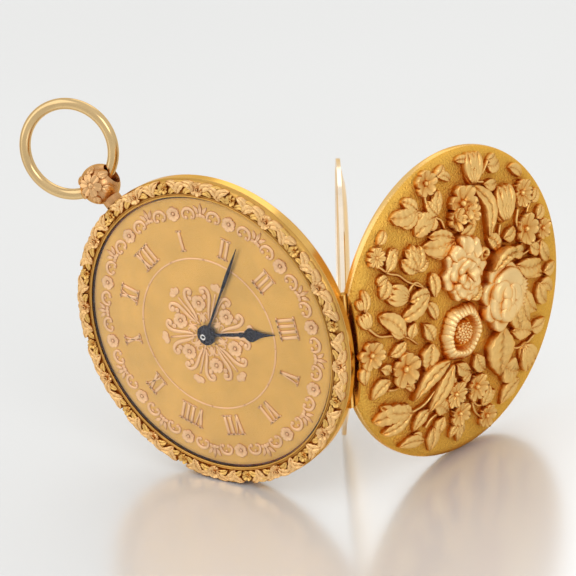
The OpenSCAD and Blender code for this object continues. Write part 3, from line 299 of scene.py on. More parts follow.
def gold(name, colour, hollow_shade, rough, grain=5000, depth=1e-6, reach=0.0, rise=None,
         tint=GRAZING, smooth=None):
    """A gold alloy. reach is how far the painted shade of the hollows spreads, rise the height range over
    which painted shade gives way to the lit colour.
    """
    mat, tree, shader = new_material(name)
    shader.inputs["Metallic"].default_value = 1.0
    shader.inputs["Specular Tint"].default_value = (*tint, 1)
    cloud = spread(tree, noise(tree, 260, 4), 0.35, 0.65, 0, 1)
    worn = tuple(c * (1 - CLOUD_DRIFT) for c in colour)
    paint = blended(tree, cloud, worn, colour)
    # Painted shade: points low in their grid, by their rise, take the hollow colour, and the tops keep the
    # lit colour.
    if rise is not None:
        node = tree.nodes.new("ShaderNodeAttribute")
        node.attribute_name = "rise"
        lift = spread(tree, node.outputs["Fac"], rise[0], rise[1], 0, 1)
        paint = blended(tree, lift, hollow_shade, paint)
    # Painted shade: the Ambient Occlusion node darkens the colour where surfaces crowd together.
    if reach:
        occlusion = tree.nodes.new("ShaderNodeAmbientOcclusion")
        occlusion.samples = 8
        occlusion.inputs["Distance"].default_value = reach
        paint = blended(tree, spread(tree, occlusion.outputs["AO"], 0.3, 0.92, 0, 1), hollow_shade, paint)
    fine = noise(tree, grain, 2, 0.6)
    rougher = spread(tree, fine, 0.3, 0.7, rough * 0.85, rough * 1.2)
    if smooth:
        polished = smooth(tree)
        paint = blended(tree, polished, paint, POLISHED)
        rougher = times(tree, rougher, spread(tree, polished, 0, 1, 1.0, 0.5))
        fine = times(tree, fine, spread(tree, polished, 0, 1, 1.0, 0.0))
    tree.links.new(paint, shader.inputs["Base Color"])
    tree.links.new(rougher, shader.inputs["Roughness"])
    add_grain(tree, shader, fine, depth)
    return mat


print("cloud in each gold:", CLOUD_DRIFT)

# %% [markdown]
# The watch has many alloys: yellow for the case, paler for the bow, nearly white for the inner cover, pink
# for the ball and the applied work of the dial. Steel and blued steel are made by the same helper. Each
# line gives the colour, the colour of the painted shade in the hollows, the roughness, the scale and depth
# of the grain, and how far that painted shade spreads, in metres, and for some the height range of the
# painted shade.

# %% Alloys
SHADE_BROWN = (0.34, 0.12, 0.02)  # colour of the painted shade in most hollows
case_gold = gold("case_gold", (0.82, 0.49, 0.14), SHADE_BROWN, 0.18, 900, 2e-6, 0.0008)
bow_gold = gold("bow_gold", (0.70, 0.49, 0.24), SHADE_BROWN, 0.16, 700, 2e-6, 0.0012)
inner_gold = gold("inner_gold", (1.0, 0.86, 0.69), SHADE_BROWN, 0.12, 500, 1e-6, 0.0006)
ball_gold = gold("ball_gold", (0.62, 0.34, 0.15), SHADE_BROWN, 0.28, 2600, 20e-6, 0.0012)
dial_gold = gold("dial_gold", (0.835, 0.48, 0.12), (0.55, 0.27, 0.06), 0.45, 5200, 60e-6, 0.0002)
ground_gold = gold(
    "ground_gold", (0.84, 0.47, 0.085), (0.48, 0.17, 0.022), 0.42, 3600, 300e-6, 0.0024,
    smooth=cover_smooth
)
bezel_gold = gold("bezel_gold", (0.64, 0.36, 0.09), SHADE_BROWN, 0.32, 4600, 40e-6, 0.0010)
flower_gold = gold(
    "flower_gold", (0.93, 0.585, 0.205), (0.56, 0.20, 0.022), 0.34, 2800, 70e-6, 0.0014, (0.3, 0.9)
)
great_gold = gold(
    "great_gold", (1.0, 0.69, 0.31), (0.66, 0.25, 0.03), 0.34, 2800, 70e-6, 0.0018, (0.15, 0.75)
)
leaf_rose = gold("leaf_rose", (0.88, 0.54, 0.23), SHADE_BROWN, 0.28, 2200, 8e-6, 0.0007, (0.0, 0.45))
leaf_yellow = gold("leaf_yellow", (0.82, 0.50, 0.15), SHADE_BROWN, 0.28, 2200, 8e-6, 0.0007, (0.0, 0.45))
ball_rose = gold("ball_rose", (0.72, 0.42, 0.19), SHADE_BROWN, 0.28, 2200, 8e-6, 0.0009, (0.0, 0.45))
dial_rose = gold(
    "dial_rose", (0.94, 0.58, 0.30), (0.56, 0.27, 0.09), 0.36, 4200, 8e-6, 0.00015, (0.0, 0.6)
)
gilt_brass = gold("gilt_brass", (0.80, 0.56, 0.22), SHADE_BROWN, 0.34, 4200, 8e-6, 0.0007)
steel = gold(
    "polished_steel", (0.58, 0.59, 0.60), (0.12, 0.12, 0.12), 0.16, 1500, 2e-6, 0.0006, tint=(1, 1, 1)
)
blued = gold(
    "blued_steel", (0.016, 0.016, 0.026), (0.01, 0.01, 0.012), 0.26, 1500, 2e-6, tint=(0.5, 0.5, 0.6)
)
pin_steel = gold("pin_steel", (0.86, 0.85, 0.82), (0.4, 0.4, 0.4), 0.22, 1500, 2e-6, tint=(1, 1, 1))
print("materials now:", len(bpy.data.materials))

# %% [markdown]
# The crystal is clear glass. Real glass lets the lamps through to the dial, but a ray tracer
# would shade it, so lamp rays pass through a Transparent shader instead. Its index of refraction is
# set lower than that of real glass, so that its reflections don't veil the dial. Rubies are red
# glass with a faint cloud.


# %% Glass and ruby
def clear_glass(name, tint, ior, rough):
    """Glass that lets the lamps reach what is behind it."""
    mat, tree, shader = new_material(name)
    cloud = spread(tree, noise(tree, 300, 2), 0.3, 0.7, 0, 1)
    paint = blended(tree, cloud, tuple(c * 0.97 for c in tint), tint)
    tree.links.new(paint, shader.inputs["Base Color"])
    shader.inputs["Transmission Weight"].default_value = 1.0
    shader.inputs["IOR"].default_value = ior
    shader.inputs["Roughness"].default_value = rough
    open_to_lamps = tree.nodes.new("ShaderNodeBsdfTransparent")
    path = tree.nodes.new("ShaderNodeLightPath")
    mix = tree.nodes.new("ShaderNodeMixShader")
    tree.links.new(path.outputs["Is Shadow Ray"], mix.inputs[0])
    tree.links.new(shader.outputs[0], mix.inputs[1])
    tree.links.new(open_to_lamps.outputs[0], mix.inputs[2])
    tree.links.new(mix.outputs[0], tree.nodes["Material Output"].inputs["Surface"])
    return mat


watch_glass = clear_glass("watch_glass", (0.99, 0.995, 1.0), 1.33, 0.0)
ruby = clear_glass("ruby", (0.75, 0.05, 0.09), 1.76, 0.05)
print("glass:", watch_glass.name, ruby.name)

# %% [markdown]
# CAD pieces whose shape is already right keep their shape and get a finish. The record's own
# material name on each node says which. The engraved cover and the pendant get golds of their own.

# %% Finishes for the carried-over nodes
FINISHES = {
    "yellow_gold": case_gold,
    "pale_gold": bow_gold,
    "rose_gold": inner_gold,
    "dial_gold": dial_gold,
    "gilt_brass": gilt_brass,
    "blued_steel": blued,
    "polished_steel": steel,
    "watch_glass": watch_glass,
    "ruby": ruby,
}


def finish_node(node, mat):
    """Puts one finish on a CAD node."""
    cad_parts[node].data.materials.clear()
    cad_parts[node].data.materials.append(mat)


for name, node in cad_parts.items():
    slot = node.data.materials[0].name.split(".")[0]
    finish_node(name, FINISHES[slot])
finish_node("back_cover", ground_gold)
finish_node("pendant", ball_gold)
print("finished nodes:", len(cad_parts))

# %% [markdown]
# Every new piece ends the same way: it is shaded smooth, gets its material, rides on a body of the model,
# and names the CAD nodes that it stands for, which are hidden.


# %% Handing a piece over
def add_piece(name, mesh, body, nodes, mat):
    """Puts a finished mesh in the scene as one piece of the watch."""
    mesh.materials.append(mat)
    piece = bpy.data.objects.new(name, mesh)
    bpy.context.scene.collection.objects.link(piece)
    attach(piece, body)
    if nodes:
        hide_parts(*nodes)
    print(name, len(mesh.vertices), "points")


def shade_smooth(mesh):
    """Shades every face smooth."""
    mesh.polygons.foreach_set("use_smooth", np.ones(len(mesh.polygons), bool))


print("pieces so far:", len(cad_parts), "from the CAD model")

# %% [markdown]
# All the raised work on this watch is thin: petals, leaves, stems and scrolls lie on a surface and
# stand up from it. So each is drawn as a small grid of points (x, y, height) on a flat sheet, and a
# place function lays the grid on the dial, the bezel, the dome or the ball. A grid's rim is folded
# down below the ground, which gives the sharp undercut that chasing has. Grids are collected and
# become one mesh. A height map would be shorter, but it has no undercut and no edges of its own,
# and a hand sculpture can't be written down and repeated.


# %% Relief: the collector of grids
class Relief:
    """Collects grids of (x, y, height) and lays them on a surface as one mesh."""

    def __init__(self, place, sink=-0.12):
        self.place = place
        self.sink = sink
        self.points = []
        self.rises = []
        self.faces = []
        self.count = 0
        o, i, j, k = (place(v) for v in ([0, 0, 0.0], [0.01, 0, 0], [0, 0.01, 0], [0, 0, 0.01]))
        self.handed = np.sign(np.dot(np.cross(i - o, j - o), k - o))

    def add(self, grid, wrap=False, flare=0.03):
        """Adds one grid. wrap joins its last column to its first, flare spreads its folded rim."""
        g = np.asarray(grid, float)
        pad = ((0, 1), (0, 0)) if wrap else ((1, 1), (1, 1))
        rows = np.pad(g, (*pad, (0, 0)), "edge")
        rise = np.pad(np.clip(g[..., 2] / max(g[..., 2].max(), 0.01), 0, 1), pad, "edge")
        rim = np.zeros(rise.shape, bool)
        rim[-1] = True
        if not wrap:
            rim[0] = rim[:, 0] = rim[:, -1] = True
        away = rows[rim][:, :2] - g.reshape(-1, 3)[:, :2].mean(0)
        size = np.linalg.norm(away, axis=1, keepdims=True)
        rows[rim, :2] += away / np.maximum(size, 1e-6) * flare
        rows[rim, 2] = self.sink
        rise[rim] = 0
        self.faces.append(self.quads(g, rise.shape, wrap))
        self.points.append(self.place(rows).reshape(-1, 3))
        self.rises.append(rise.ravel())
        self.count += rise.size

    def quads(self, g, shape, wrap):
        """The faces of a grid, wound so that they look away from the surface."""
        index = np.arange(shape[0] * shape[1]).reshape(shape) + self.count
        right = np.roll(index, -1, 1) if wrap else index[:, 1:]
        left = index if wrap else index[:, :-1]
        a, b, c, d = left[:-1], right[:-1], right[1:], left[1:]
        e1 = np.roll(g, -1, 1)[..., :2] - g[..., :2]
        e2 = np.gradient(g[..., :2], axis=0)
        if not wrap:
            e1 = e1[:, :-1]
            e2 = e2[:, :-1]
        area = (e1[..., 0] * e2[..., 1] - e1[..., 1] * e2[..., 0]).sum()
        return np.stack([a, b, c, d] if area * self.handed > 0 else [a, d, c, b], -1).reshape(-1, 4)

    def make(self, name, body, nodes, mat):
        """Turns the grids into one smooth piece that rides on a body."""
        mesh = bpy.data.meshes.new(name)
        mesh.from_pydata(np.concatenate(self.points), [], np.concatenate(self.faces).tolist())
        shade_smooth(mesh)
        # The rise is each point's share of its grid's height; the golds paint shade on the low parts from
        # it.
        values = mesh.attributes.new("rise", "FLOAT", "POINT")
        values.data.foreach_set("value", np.concatenate(self.rises).astype(np.float32))
        add_piece(name, mesh, body, nodes, mat)


print("a grid's rim goes", -Relief(on_cover).sink, "mm under the ground")

# %% [markdown]
# A ribbon is a line with a width and a height across it. Leaves, stems, strokes, scrolls and
# single petals are all ribbons, so one function serves them. A dome makes beads and buds. Two
# curves give a ribbon's width: one closes in a round tip, the other in a point.


# %% Ribbon and dome
EDGES = np.array([-1, -0.93, -0.75, -0.45, -0.15, 0.0, 0.15, 0.45, 0.75, 0.93, 1.0])  # across a ribbon


def smooth_line(points, n):
    """n evenly spaced points on a smooth curve through the given ones."""
    p = np.asarray(points, float)
    if len(p) == 2:
        return p[0] + (p[1] - p[0]) * np.linspace(0, 1, n)[:, None]
    ends = np.concatenate([[2 * p[0] - p[1]], p, [2 * p[-1] - p[-2]]])
    out = []
    for a, b, c, d in zip(ends, ends[1:], ends[2:], ends[3:]):
        t = np.linspace(0, 1, 13)[:-1, None]
        out.append(0.5 * (2 * b + (c - a) * t + (2 * a - 5 * b + 4 * c - d) * t**2
                          + (3 * b - a - 3 * c + d) * t**3))
    line = np.concatenate(out + [p[-1:]])
    length = np.concatenate([[0], np.cumsum(np.linalg.norm(np.diff(line, axis=0), axis=1))])
    at = np.linspace(0, length[-1], n)
    return np.stack([np.interp(at, length, line[:, k]) for k in (0, 1)], 1)


def ribbon(points, half, height, n=12, across=EDGES):
    """A grid along a line. half(u) is its half width, height(u, v) its height."""
    line = smooth_line(points, n)
    run = np.gradient(line, axis=0)
    run /= np.maximum(np.linalg.norm(run, axis=1, keepdims=True), 1e-9)
    u = np.linspace(0, 1, n)
    w = half(u)[:, None] * across
    x = line[:, :1] - run[:, 1:] * w
    y = line[:, 1:] + run[:, :1] * w
    uu, vv = np.meshgrid(u, across, indexing="ij")
    return np.stack([x, y, height(uu, vv)], -1)


def dome(x, y, rx, ry, turn_by, base, top, n=5, around=16):
    """A round or oval swelling, as a wrapped grid from its crown to its foot."""
    r = np.sin(np.linspace(0.001, 0.5, n) * math.pi)[:, None]
    a = np.linspace(0, 2 * math.pi, around, endpoint=False)[None, :]
    g = np.stack([rx * r * np.cos(a), ry * r * np.sin(a), base + (top - base) * np.sqrt(
        np.maximum(1 - r * r, 0)) + 0 * a], -1)
    g = turned(g, turn_by)
    return g + [x, y, 0]


def round_tip(u, start=0.12, full=0.45):
    """A width that opens from a narrow foot and closes in a round tip."""
    open_up = start + (1 - start) * np.sin(np.clip(u / full, 0, 1) * math.pi / 2)
    close = np.sqrt(np.clip(1 - np.clip((u - full) / (1 - full), 0, 1) ** 2.2, 0.01, 1))
    return open_up * close


def sharp_tip(u, start=0.15, full=0.42):
    """A width that opens from a narrow foot and runs out to a point."""
    open_up = start + (1 - start) * np.sin(np.clip(u / full, 0, 1) * math.pi / 2)
    close = np.clip(1 - np.clip((u - full) / (1 - full), 0, 1) ** 1.7, 0.04, 1)
    return open_up * close


print("grid across a ribbon:", len(EDGES), "points")

# %% [markdown]
# From ribbons come the plants. A leaf has a sunk midrib, side veins, raised edges and a notched
# outline, and it lifts in the middle. A lobed leaf is several of them from one foot.


# %% Leaves and stems
def leaf(foot, tip, width, height=0.75, bend=0.0, base=0.35, veins=5, n=14, blunt=False,
         teeth=0.07):
    """One leaf from its foot to its tip, bent sideways by a share of its length."""
    a, b = np.asarray(foot, float), np.asarray(tip, float)
    d = b - a
    mid = (a + b) / 2 + bend * np.array([-d[1], d[0]])
    shape = round_tip if blunt else sharp_tip

    def half(u):
        saw = (u * veins) % 1.0 - 0.5
        return width / 2 * shape(u) * (1 - 2 * teeth * saw)

    def rise(u, v):
        body = base + (height - base) * np.sin(np.clip(u * 0.85 + 0.12, 0, 1) * math.pi) ** 0.6
        rib = 0.22 * height * np.exp(-((v / 0.13) ** 2))
        side = 0.085 * height * np.cos((u * veins - 0.6 * np.abs(v)) * 2 * math.pi)
        return body * (1 - 0.28 * v**4) + 0.17 * height * v**2 - rib + side * (1 - v**2)

    return ribbon([a, mid, b], half, rise, n)


def stem_line(points, thick=0.36, height=0.42, n=16):
    """A thin round stem along a curve."""

    def half(u):
        return thick / 2 * (1 - 0.25 * u)

    def rise(u, v):
        return height * np.sqrt(np.maximum(1 - 0.75 * v * v, 0))

    return ribbon(points, half, rise, n, np.array([-1, -0.7, 0, 0.7, 1]))


def lobed_leaf(work, foot, tips, height=0.7):
    """A leaf of several lobes that leave one foot. Each tip is (x, y, width)."""
    for i, (x, y, width) in enumerate(tips):
        bend = 0.08 if i % 2 else -0.08
        work.add(leaf(foot, (x, y), 1.28 * width, height * (1 - 0.05 * i), bend, 0.3, 5, 22, True, 0.11))


print("leaf outline:", np.round(round_tip(np.linspace(0, 1, 5)), 2))

# %% [markdown]
# A blossom is a ring of hollowed petals round a bead. Its petals differ a little in length and
# turn, by seeded random shares, as hand work does. A bud or a flower's heart is a wound ribbon that
# rises as it runs inwards.


# %% Blossoms and spirals
def petal(x, y, direction, inner, outer, width, low, high, lip=0.0, n=9):
    """A petal that runs out from a flower's middle, with a groove and a raised rim."""
    c, s = math.cos(math.radians(direction)), math.sin(math.radians(direction))
    a = (x + inner * c, y + inner * s)
    b = (x + outer * c, y + outer * s)

    def half(u):
        return width / 2 * round_tip(u, 0.25, 0.66)

    def rise(u, v):
        body = low + (high - low) * u**0.8
        cup = (high - low) * 0.35 * v * v + lip * np.exp(-(((1 - u) / 0.16) ** 2))
        return body + cup - 0.10 * high * np.exp(-((v / 0.2) ** 2)) - 0.12 * high * v**6

    return ribbon([a, b], half, rise, n, EDGES)


def blossom(work, x, y, r, petals, height=0.8, turn_by=0.0, cup=0.5):
    """A simple flower: a ring of petals round a bead."""
    rng = np.random.default_rng(int(100 * abs(x) + 10 * abs(y)))
    for i in range(petals):
        a = turn_by + 360 * i / petals + rng.uniform(-4, 4)
        long = r * rng.uniform(0.94, 1.05)
        wide = 1.46 * r * math.sin(math.pi / petals)
        work.add(petal(x, y, a, 0.1 * r, long, wide, height * cup, height, 0.06))
    work.add(dome(x, y, 0.24 * r, 0.24 * r, 0, 0.3, height * 1.05, 4, 12), wrap=True)


def spiral(x, y, r, height, turns=1.6, start=0.0, thick=0.28):
    """A wound bud: a ribbon that runs inwards and rises."""
    a = np.radians(start) + np.linspace(0, turns * 2 * math.pi, 14)
    rr = np.linspace(r * (1 - thick), r * 0.16, 14)
    points = np.stack([x + rr * np.cos(a), y + rr * np.sin(a)], 1)

    def half(u):
        return r * thick * (1 - 0.35 * u)

    def rise(u, v):
        return height * (0.62 + 0.38 * u) * np.sqrt(np.maximum(1 - 0.7 * v * v, 0))

    return ribbon(points, half, rise, 30, np.array([-1, -0.8, -0.4, 0, 0.4, 0.8, 1]))


print("a spiral has", len(spiral(0, 0, 1, 1)), "rows")

# %% [markdown]
# The bezel is turned work, so it is made as a lathe makes it: a section spun round the axis. The
# section has the fine steps that catch light: a smooth lip over the crystal, a dark groove, a
# second small step, the sunk ground of the garland, a thin bead and the polished outer moulding.
# Blender's Screw modifier does the same. Spinning the points here gives the final mesh at once.


# %% Bezel
def spun_mesh(name, points):
    """A closed mesh from a section that is repeated round a ring."""
    index = np.arange(points.shape[0] * points.shape[1]).reshape(points.shape[:2])
    nxt = np.roll(index, -1, 0)
    quads = np.stack([index, nxt, np.roll(nxt, -1, 1), np.roll(index, -1, 1)], -1).reshape(-1, 4)
    mesh = bpy.data.meshes.new(name)
    mesh.from_pydata(points.reshape(-1, 3), [], quads.tolist())
    work = bmesh.new()
    work.from_mesh(mesh)
    bmesh.ops.remove_doubles(work, verts=work.verts, dist=1e-8)
    bmesh.ops.recalc_face_normals(work, faces=work.faces)
    work.to_mesh(mesh)
    work.free()
    shade_smooth(mesh)
    return mesh


def lathe(name, section, body, nodes, mat, steps=288):
    """Spins a closed section of (radius, z) round the watch's axis."""
    s = np.asarray(section, float)
    a = np.linspace(0, 2 * math.pi, steps, endpoint=False)[:, None]
    flat = np.stack([s[:, 0] * np.cos(a), s[:, 0] * np.sin(a), s[:, 1] + 0 * a], -1)
    mesh = spun_mesh(name, case_to_row(flat))
    mesh.set_sharp_from_angle(angle=math.radians(38))
    add_piece(name, mesh, body, nodes, mat)


bezel_section = [
    (19.15, 0.50), (19.15, 1.00), (19.50, 1.00), (19.50, 1.38), (19.15, 1.38), (19.16, 1.44),
    (19.20, 1.485), (19.27, 1.50), (19.34, 1.49), (19.39, 1.45), (19.41, 1.39), (19.45, 1.37),
    (19.48, 1.40), (19.53, 1.43), (19.58, 1.42), (19.61, 1.36), (19.63, 1.27), (19.70, 1.25),
    (20.62, 1.25), (20.68, 1.27), (20.72, 1.325), (20.77, 1.34), (20.82, 1.325), (20.85, 1.28),
    (20.89, 1.27), (20.94, 1.30), (21.04, 1.27), (21.18, 1.19), (21.30, 1.07), (21.39, 0.92),
    (21.45, 0.76), (21.50, 0.63), (21.45, 0.50),
]
lathe("turned_bezel", bezel_section, "case", ["bezel"], bezel_gold)

# %% [markdown]
# The bow is a ring of round wire. It is the same lathe work: a circle spun round the middle of
# the ring, then leaned forward as the ring hangs in its hole. Blender's own torus would do too,
# but points from a formula go straight into the ball's frame.


# %% Bow
RING_STEPS = 160  # points round the ring
WIRE_STEPS = 32  # points round its wire


def bow_place(p):
    """The bow's own plane, leaned forward and hung in the ball."""
    c, s = math.cos(math.radians(BOW_LEAN)), math.sin(math.radians(BOW_LEAN))
    y, z = p[..., 1] + BOW_R, p[..., 2]
    return by_ball(np.stack([p[..., 0], y * c - z * s, y * s + z * c], -1))


a = np.linspace(0, 2 * math.pi, RING_STEPS, endpoint=False)[:, None]
b = np.linspace(0, 2 * math.pi, WIRE_STEPS, endpoint=False)[None, :]
r = BOW_R + BOW_WIRE * np.cos(b)
ring = np.stack([r * np.cos(a), r * np.sin(a), BOW_WIRE * np.sin(b) + 0 * a], -1)
bow_mesh = spun_mesh("bow_ring_wire", bow_place(ring))
add_piece("bow_ring_wire", bow_mesh, "bow_ring", ["bow"], bow_gold)

# %% [markdown]
# The hour numerals are cut from sheet and applied, so a stroke of one is a ribbon with a flat top
# and rounded edges. The same relief height serves all the applied work of the dial. A text object
# would be quicker, but a font's letters seldom have these proportions.

# %% Strokes
NUMERAL_R = 13.06  # radius of the circle through the numerals
NUMERAL_H = 2.9  # height of a letter
RELIEF = 0.15  # height of the applied work
FLAT = np.array([-1, -0.92, -0.7, 0.7, 0.92, 1.0])  # places across a stroke


def stroke(a, b, wide_a, wide_b=None, height=RELIEF):
    """A flat-topped stroke with rounded edges."""
    wide_b = wide_a if wide_b is None else wide_b

    def half(u):
        return (wide_a + (wide_b - wide_a) * u) / 2

    def rise(u, v):
        return height * (1 - 0.35 * np.clip((np.abs(v) - 0.7) / 0.3, 0, 1) ** 2)

    return ribbon([a, b], half, rise, 5, FLAT)


print("a stroke has", stroke((0, 0), (0, 1), 0.4).shape[:2], "points")

# %% [markdown]
# Each letter is a few strokes, thick one way and thin the other, closed by serifs. The letters of an
# hour are set side by side, and the whole word is turned to its place.

# %% Letters and numerals
LETTER_W = {"I": 0.80, "V": 1.5, "X": 1.56}  # room that a letter takes


def letter(c, x, y):
    """The strokes of one letter whose foot is at (x, y)."""
    h, thick, thin, serif = NUMERAL_H, 0.42, 0.23, 0.2
    low, high = y + serif / 2, y + h - serif / 2

    def bar(a, b, level):
        return stroke((x + a, level), (x + b, level), serif)

    if c == "I":
        upright = stroke((x + 0.40, y), (x + 0.40, y + h), thick)
        return [upright, bar(-0.02, 0.82, low), bar(-0.02, 0.82, high)]
    if c == "V":
        left = stroke((x + 0.74, y), (x + 0.34, y + h), thick)
        right = stroke((x + 0.80, y), (x + 1.24, y + h), thin)
        return [left, right, bar(-0.02, 0.72, high), bar(0.92, 1.5, high)]
    left = stroke((x + 1.18, y), (x + 0.38, y + h), thick)
    right = stroke((x + 0.40, y), (x + 1.2, y + h), thin)
    feet = [bar(0.04, 0.68, low), bar(0.84, 1.54, low)]
    return [left, right, *feet, bar(0.0, 0.72, high), bar(0.88, 1.52, high)]


numerals = Relief(on_plane(DIAL_FRONT), -0.02)
HOURS = ["XII", "I", "II", "III", "IIII", "V", "VI", "VII", "VIII", "IX", "X", "XI"]
for k, word in enumerate(HOURS):
    x = -sum(LETTER_W[c] for c in word) / 2
    for c in word:
        for grid in letter(c, x, NUMERAL_R - NUMERAL_H / 2):
            numerals.add(turned(grid, -30 * k), flare=0.012)
        x += LETTER_W[c]
numerals.make("applied_numerals", "case", ["hour_numerals"], dial_rose)

# %% [markdown]
# Round the dial runs a border: a floret at every hour, an arch on both sides of it, and a palmette
# at the half hours. A scroll is a ribbon along a curve that thins and curls into a bead. Bevelled
# curve objects could draw it too, but a ribbon's height can fall off towards its edges.


# %% Dial border
def scroll(points, thick=0.34, height=RELIEF, n=20, thin_end=0.55):
    """A scroll's stem, thickest in the middle."""

    def half(u):
        return thick / 2 * (thin_end + (1 - thin_end) * np.sin(u * math.pi))

    def rise(u, v):
        return height * (0.55 + 0.45 * np.sqrt(np.maximum(1 - v * v, 0)))

    return ribbon(points, half, rise, n, np.array([-1, -0.75, -0.3, 0.3, 0.75, 1]))


def clock(r, degrees):
    """A point at a radius and a clock direction."""
    a = math.radians(degrees)
    return (r * math.sin(a), r * math.cos(a))


def dial_flower(work, at, r, petals, spin=0.0, height=RELIEF):
    """A small round flower with hollowed petals, made for the dial."""
    for i in range(petals):
        work.add(petal(*at, spin + 360 * i / petals, 0.24 * r, r, 1.6 * r * math.sin(math.pi / petals),
                       height * 0.45, height * 1.1, 0.03, 7), flare=0.012)
    work.add(dome(*at, 0.2 * r, 0.2 * r, 0, height * 0.5, height * 1.2, 4, 10), wrap=True, flare=0.012)


border = Relief(on_plane(DIAL_FRONT), -0.02)
BORDER_R = 16.8  # radius of the circle through the florets
# An arch as (radius, degrees from the hour), and its beads as (radius, degrees, size).
ARCH = [(16.15, 5.9), (16.7, 5.0), (17.3, 6.2), (17.5, 8.4), (17.25, 10.6), (16.6, 11.6), (16.15, 10.9)]
ARCH_BEADS = [(16.25, 6.8, 0.27), (16.3, 10.1, 0.25), (17.0, 8.4, 0.17)]
for k in range(12):
    dial_flower(border, clock(BORDER_R, 30 * k), 1.02, 6, 90 - 30 * k)
    for s in (-1, 1):
        arch = [clock(r, 30 * k + s * d) for r, d in ARCH]
        border.add(scroll(arch, 0.46, RELIEF * 1.1), flare=0.012)
        for r, d, size in ARCH_BEADS:
            border.add(dome(*clock(r, 30 * k + s * d), size, size, 0, 0.08, 0.17, 4, 10), True, 0.012)
        spike = clock(17.0, 30 * k + 15 + s * 1.2), clock(18.0, 30 * k + 15 + s * 3.4)
        border.add(leaf(*spike, 0.46, RELIEF, 0.05 * s, 0.08, 2, 8), flare=0.012)
        side = clock(16.85, 30 * k + 15 + s * 0.6), clock(16.5, 30 * k + 15 + s * 2.6)
        border.add(leaf(*side, 0.4, RELIEF, 0, 0.08, 2, 8, True), flare=0.012)
    middle = clock(16.9, 30 * k + 15), clock(18.4, 30 * k + 15)
    border.add(leaf(*middle, 0.46, RELIEF, 0, 0.08, 2, 8), flare=0.012)
    border.add(dome(*clock(16.75, 30 * k + 15), 0.32, 0.32, 0, 0.09, 0.19, 4, 12), True, 0.012)
border.make("dial_scroll_border", "case", ["dial_border"], dial_rose)

# %% [markdown]
# In the middle is a rosette of six flowers between six stems that end in trefoils, with a pair of
# curled scrolls round each stem. A thin ring runs between rosette and numerals. One sixth of the
# rosette is written down, and it is repeated round the middle.

# %% Rosette and ring line
rosette = Relief(on_plane(DIAL_FRONT), -0.02)
RING_LINE = 10.62  # radius of the thin ring
# The long scroll beside a stem and the small one inside it, as (radius, degrees from the stem).
CURL = [(2.3, 6), (3.6, 9), (4.9, 8.5), (5.9, 10), (6.6, 15), (6.5, 21.5), (5.95, 22), (5.8, 18.5)]
INNER_CURL = [(1.9, 12), (2.7, 24), (3.1, 17), (2.75, 10)]
for k in range(12):
    part = [clock(RING_LINE, 30 * k + d) for d in np.linspace(-15.2, 15.2, 9)]
    rosette.add(scroll(part, 0.24, 0.08, 14, 1.0), flare=0.012)
for k in range(6):
    dial_flower(rosette, clock(4.45, 60 * k + 30), 1.12, 5, 90 - 60 * k)
    rosette.add(scroll([clock(1.6, 60 * k), clock(6.3, 60 * k)], 0.30, 0.12, 10, 0.8), flare=0.012)
    for d in (-34, 0, 34):
        x, y = clock(6.75, 60 * k)
        dx, dy = clock(1.1, 60 * k + 1.5 * d)
        rosette.add(leaf((x, y), (x + dx, y + dy), 0.82, RELIEF, 0, 0.09, 2, 8, True), flare=0.012)
    for s in (-1, 1):
        curl = [clock(r, 60 * k + s * d) for r, d in CURL]
        rosette.add(scroll(curl, 0.52, RELIEF * 1.1, 26), flare=0.012)
        rosette.add(dome(*clock(6.05, 60 * k + s * 19), 0.36, 0.36, 0, 0.09, 0.2, 4, 12), True, 0.012)
        inner = [clock(r, 60 * k + s * d) for r, d in INNER_CURL]
        rosette.add(scroll(inner, 0.26, 0.12, 14), flare=0.012)
        leafy = clock(5.3, 60 * k + s * 13), clock(5.5, 60 * k + s * 20)
        rosette.add(leaf(*leafy, 0.7, RELIEF, 0, 0.08, 2, 8, True), flare=0.012)
    spear = clock(1.6, 60 * k + 30), clock(3.2, 60 * k + 30)
    rosette.add(leaf(*spear, 0.6, 0.14, 0, 0.08, 2, 8), flare=0.012)
rosette.make("dial_centre_rosette", "case", ["dial_rosette"], dial_rose)

# %% [markdown]
# The hands are blued steel. The hour hand has a spade and a baluster, the minute hand a slender
# leaf. A flat outline would look like paper, so each is a ribbon with a ridge down its middle,
# which takes light on one side. The minute
# hand's hub is a stepped boss, and the middle arbor's bright tubular end stands out of it.

# %% Hands
HOUR_Z = 1.18  # height of the hour hand
MINUTE_Z = 1.38  # height of the minute hand
HAND_T = 0.12  # thickness of both
HOUR_TURN = 123.6  # degrees clockwise from XII
MINUTE_TURN = 67.8  # degrees clockwise from XII


def hand(name, table, z, clockwise, body, node):
    """A hand from rows of (distance from the middle, width)."""
    rows = np.asarray(table, float)
    length = rows[-1, 0] - rows[0, 0]
    work = Relief(on_plane(z, DIAL_TURN - clockwise), 0.0)

    def half(u):
        return np.interp(u * length + rows[0, 0], rows[:, 0], rows[:, 1]) / 2

    def rise(u, v):
        return HAND_T * (1 - 0.45 * np.abs(v) ** 1.3)

    across = np.array([-1, -0.8, -0.4, 0, 0.4, 0.8, 1])
    work.add(ribbon([(0, rows[0, 0]), (0, rows[-1, 0])], half, rise, 60, across), flare=0.004)
    work.make(name, body, [node], blued)


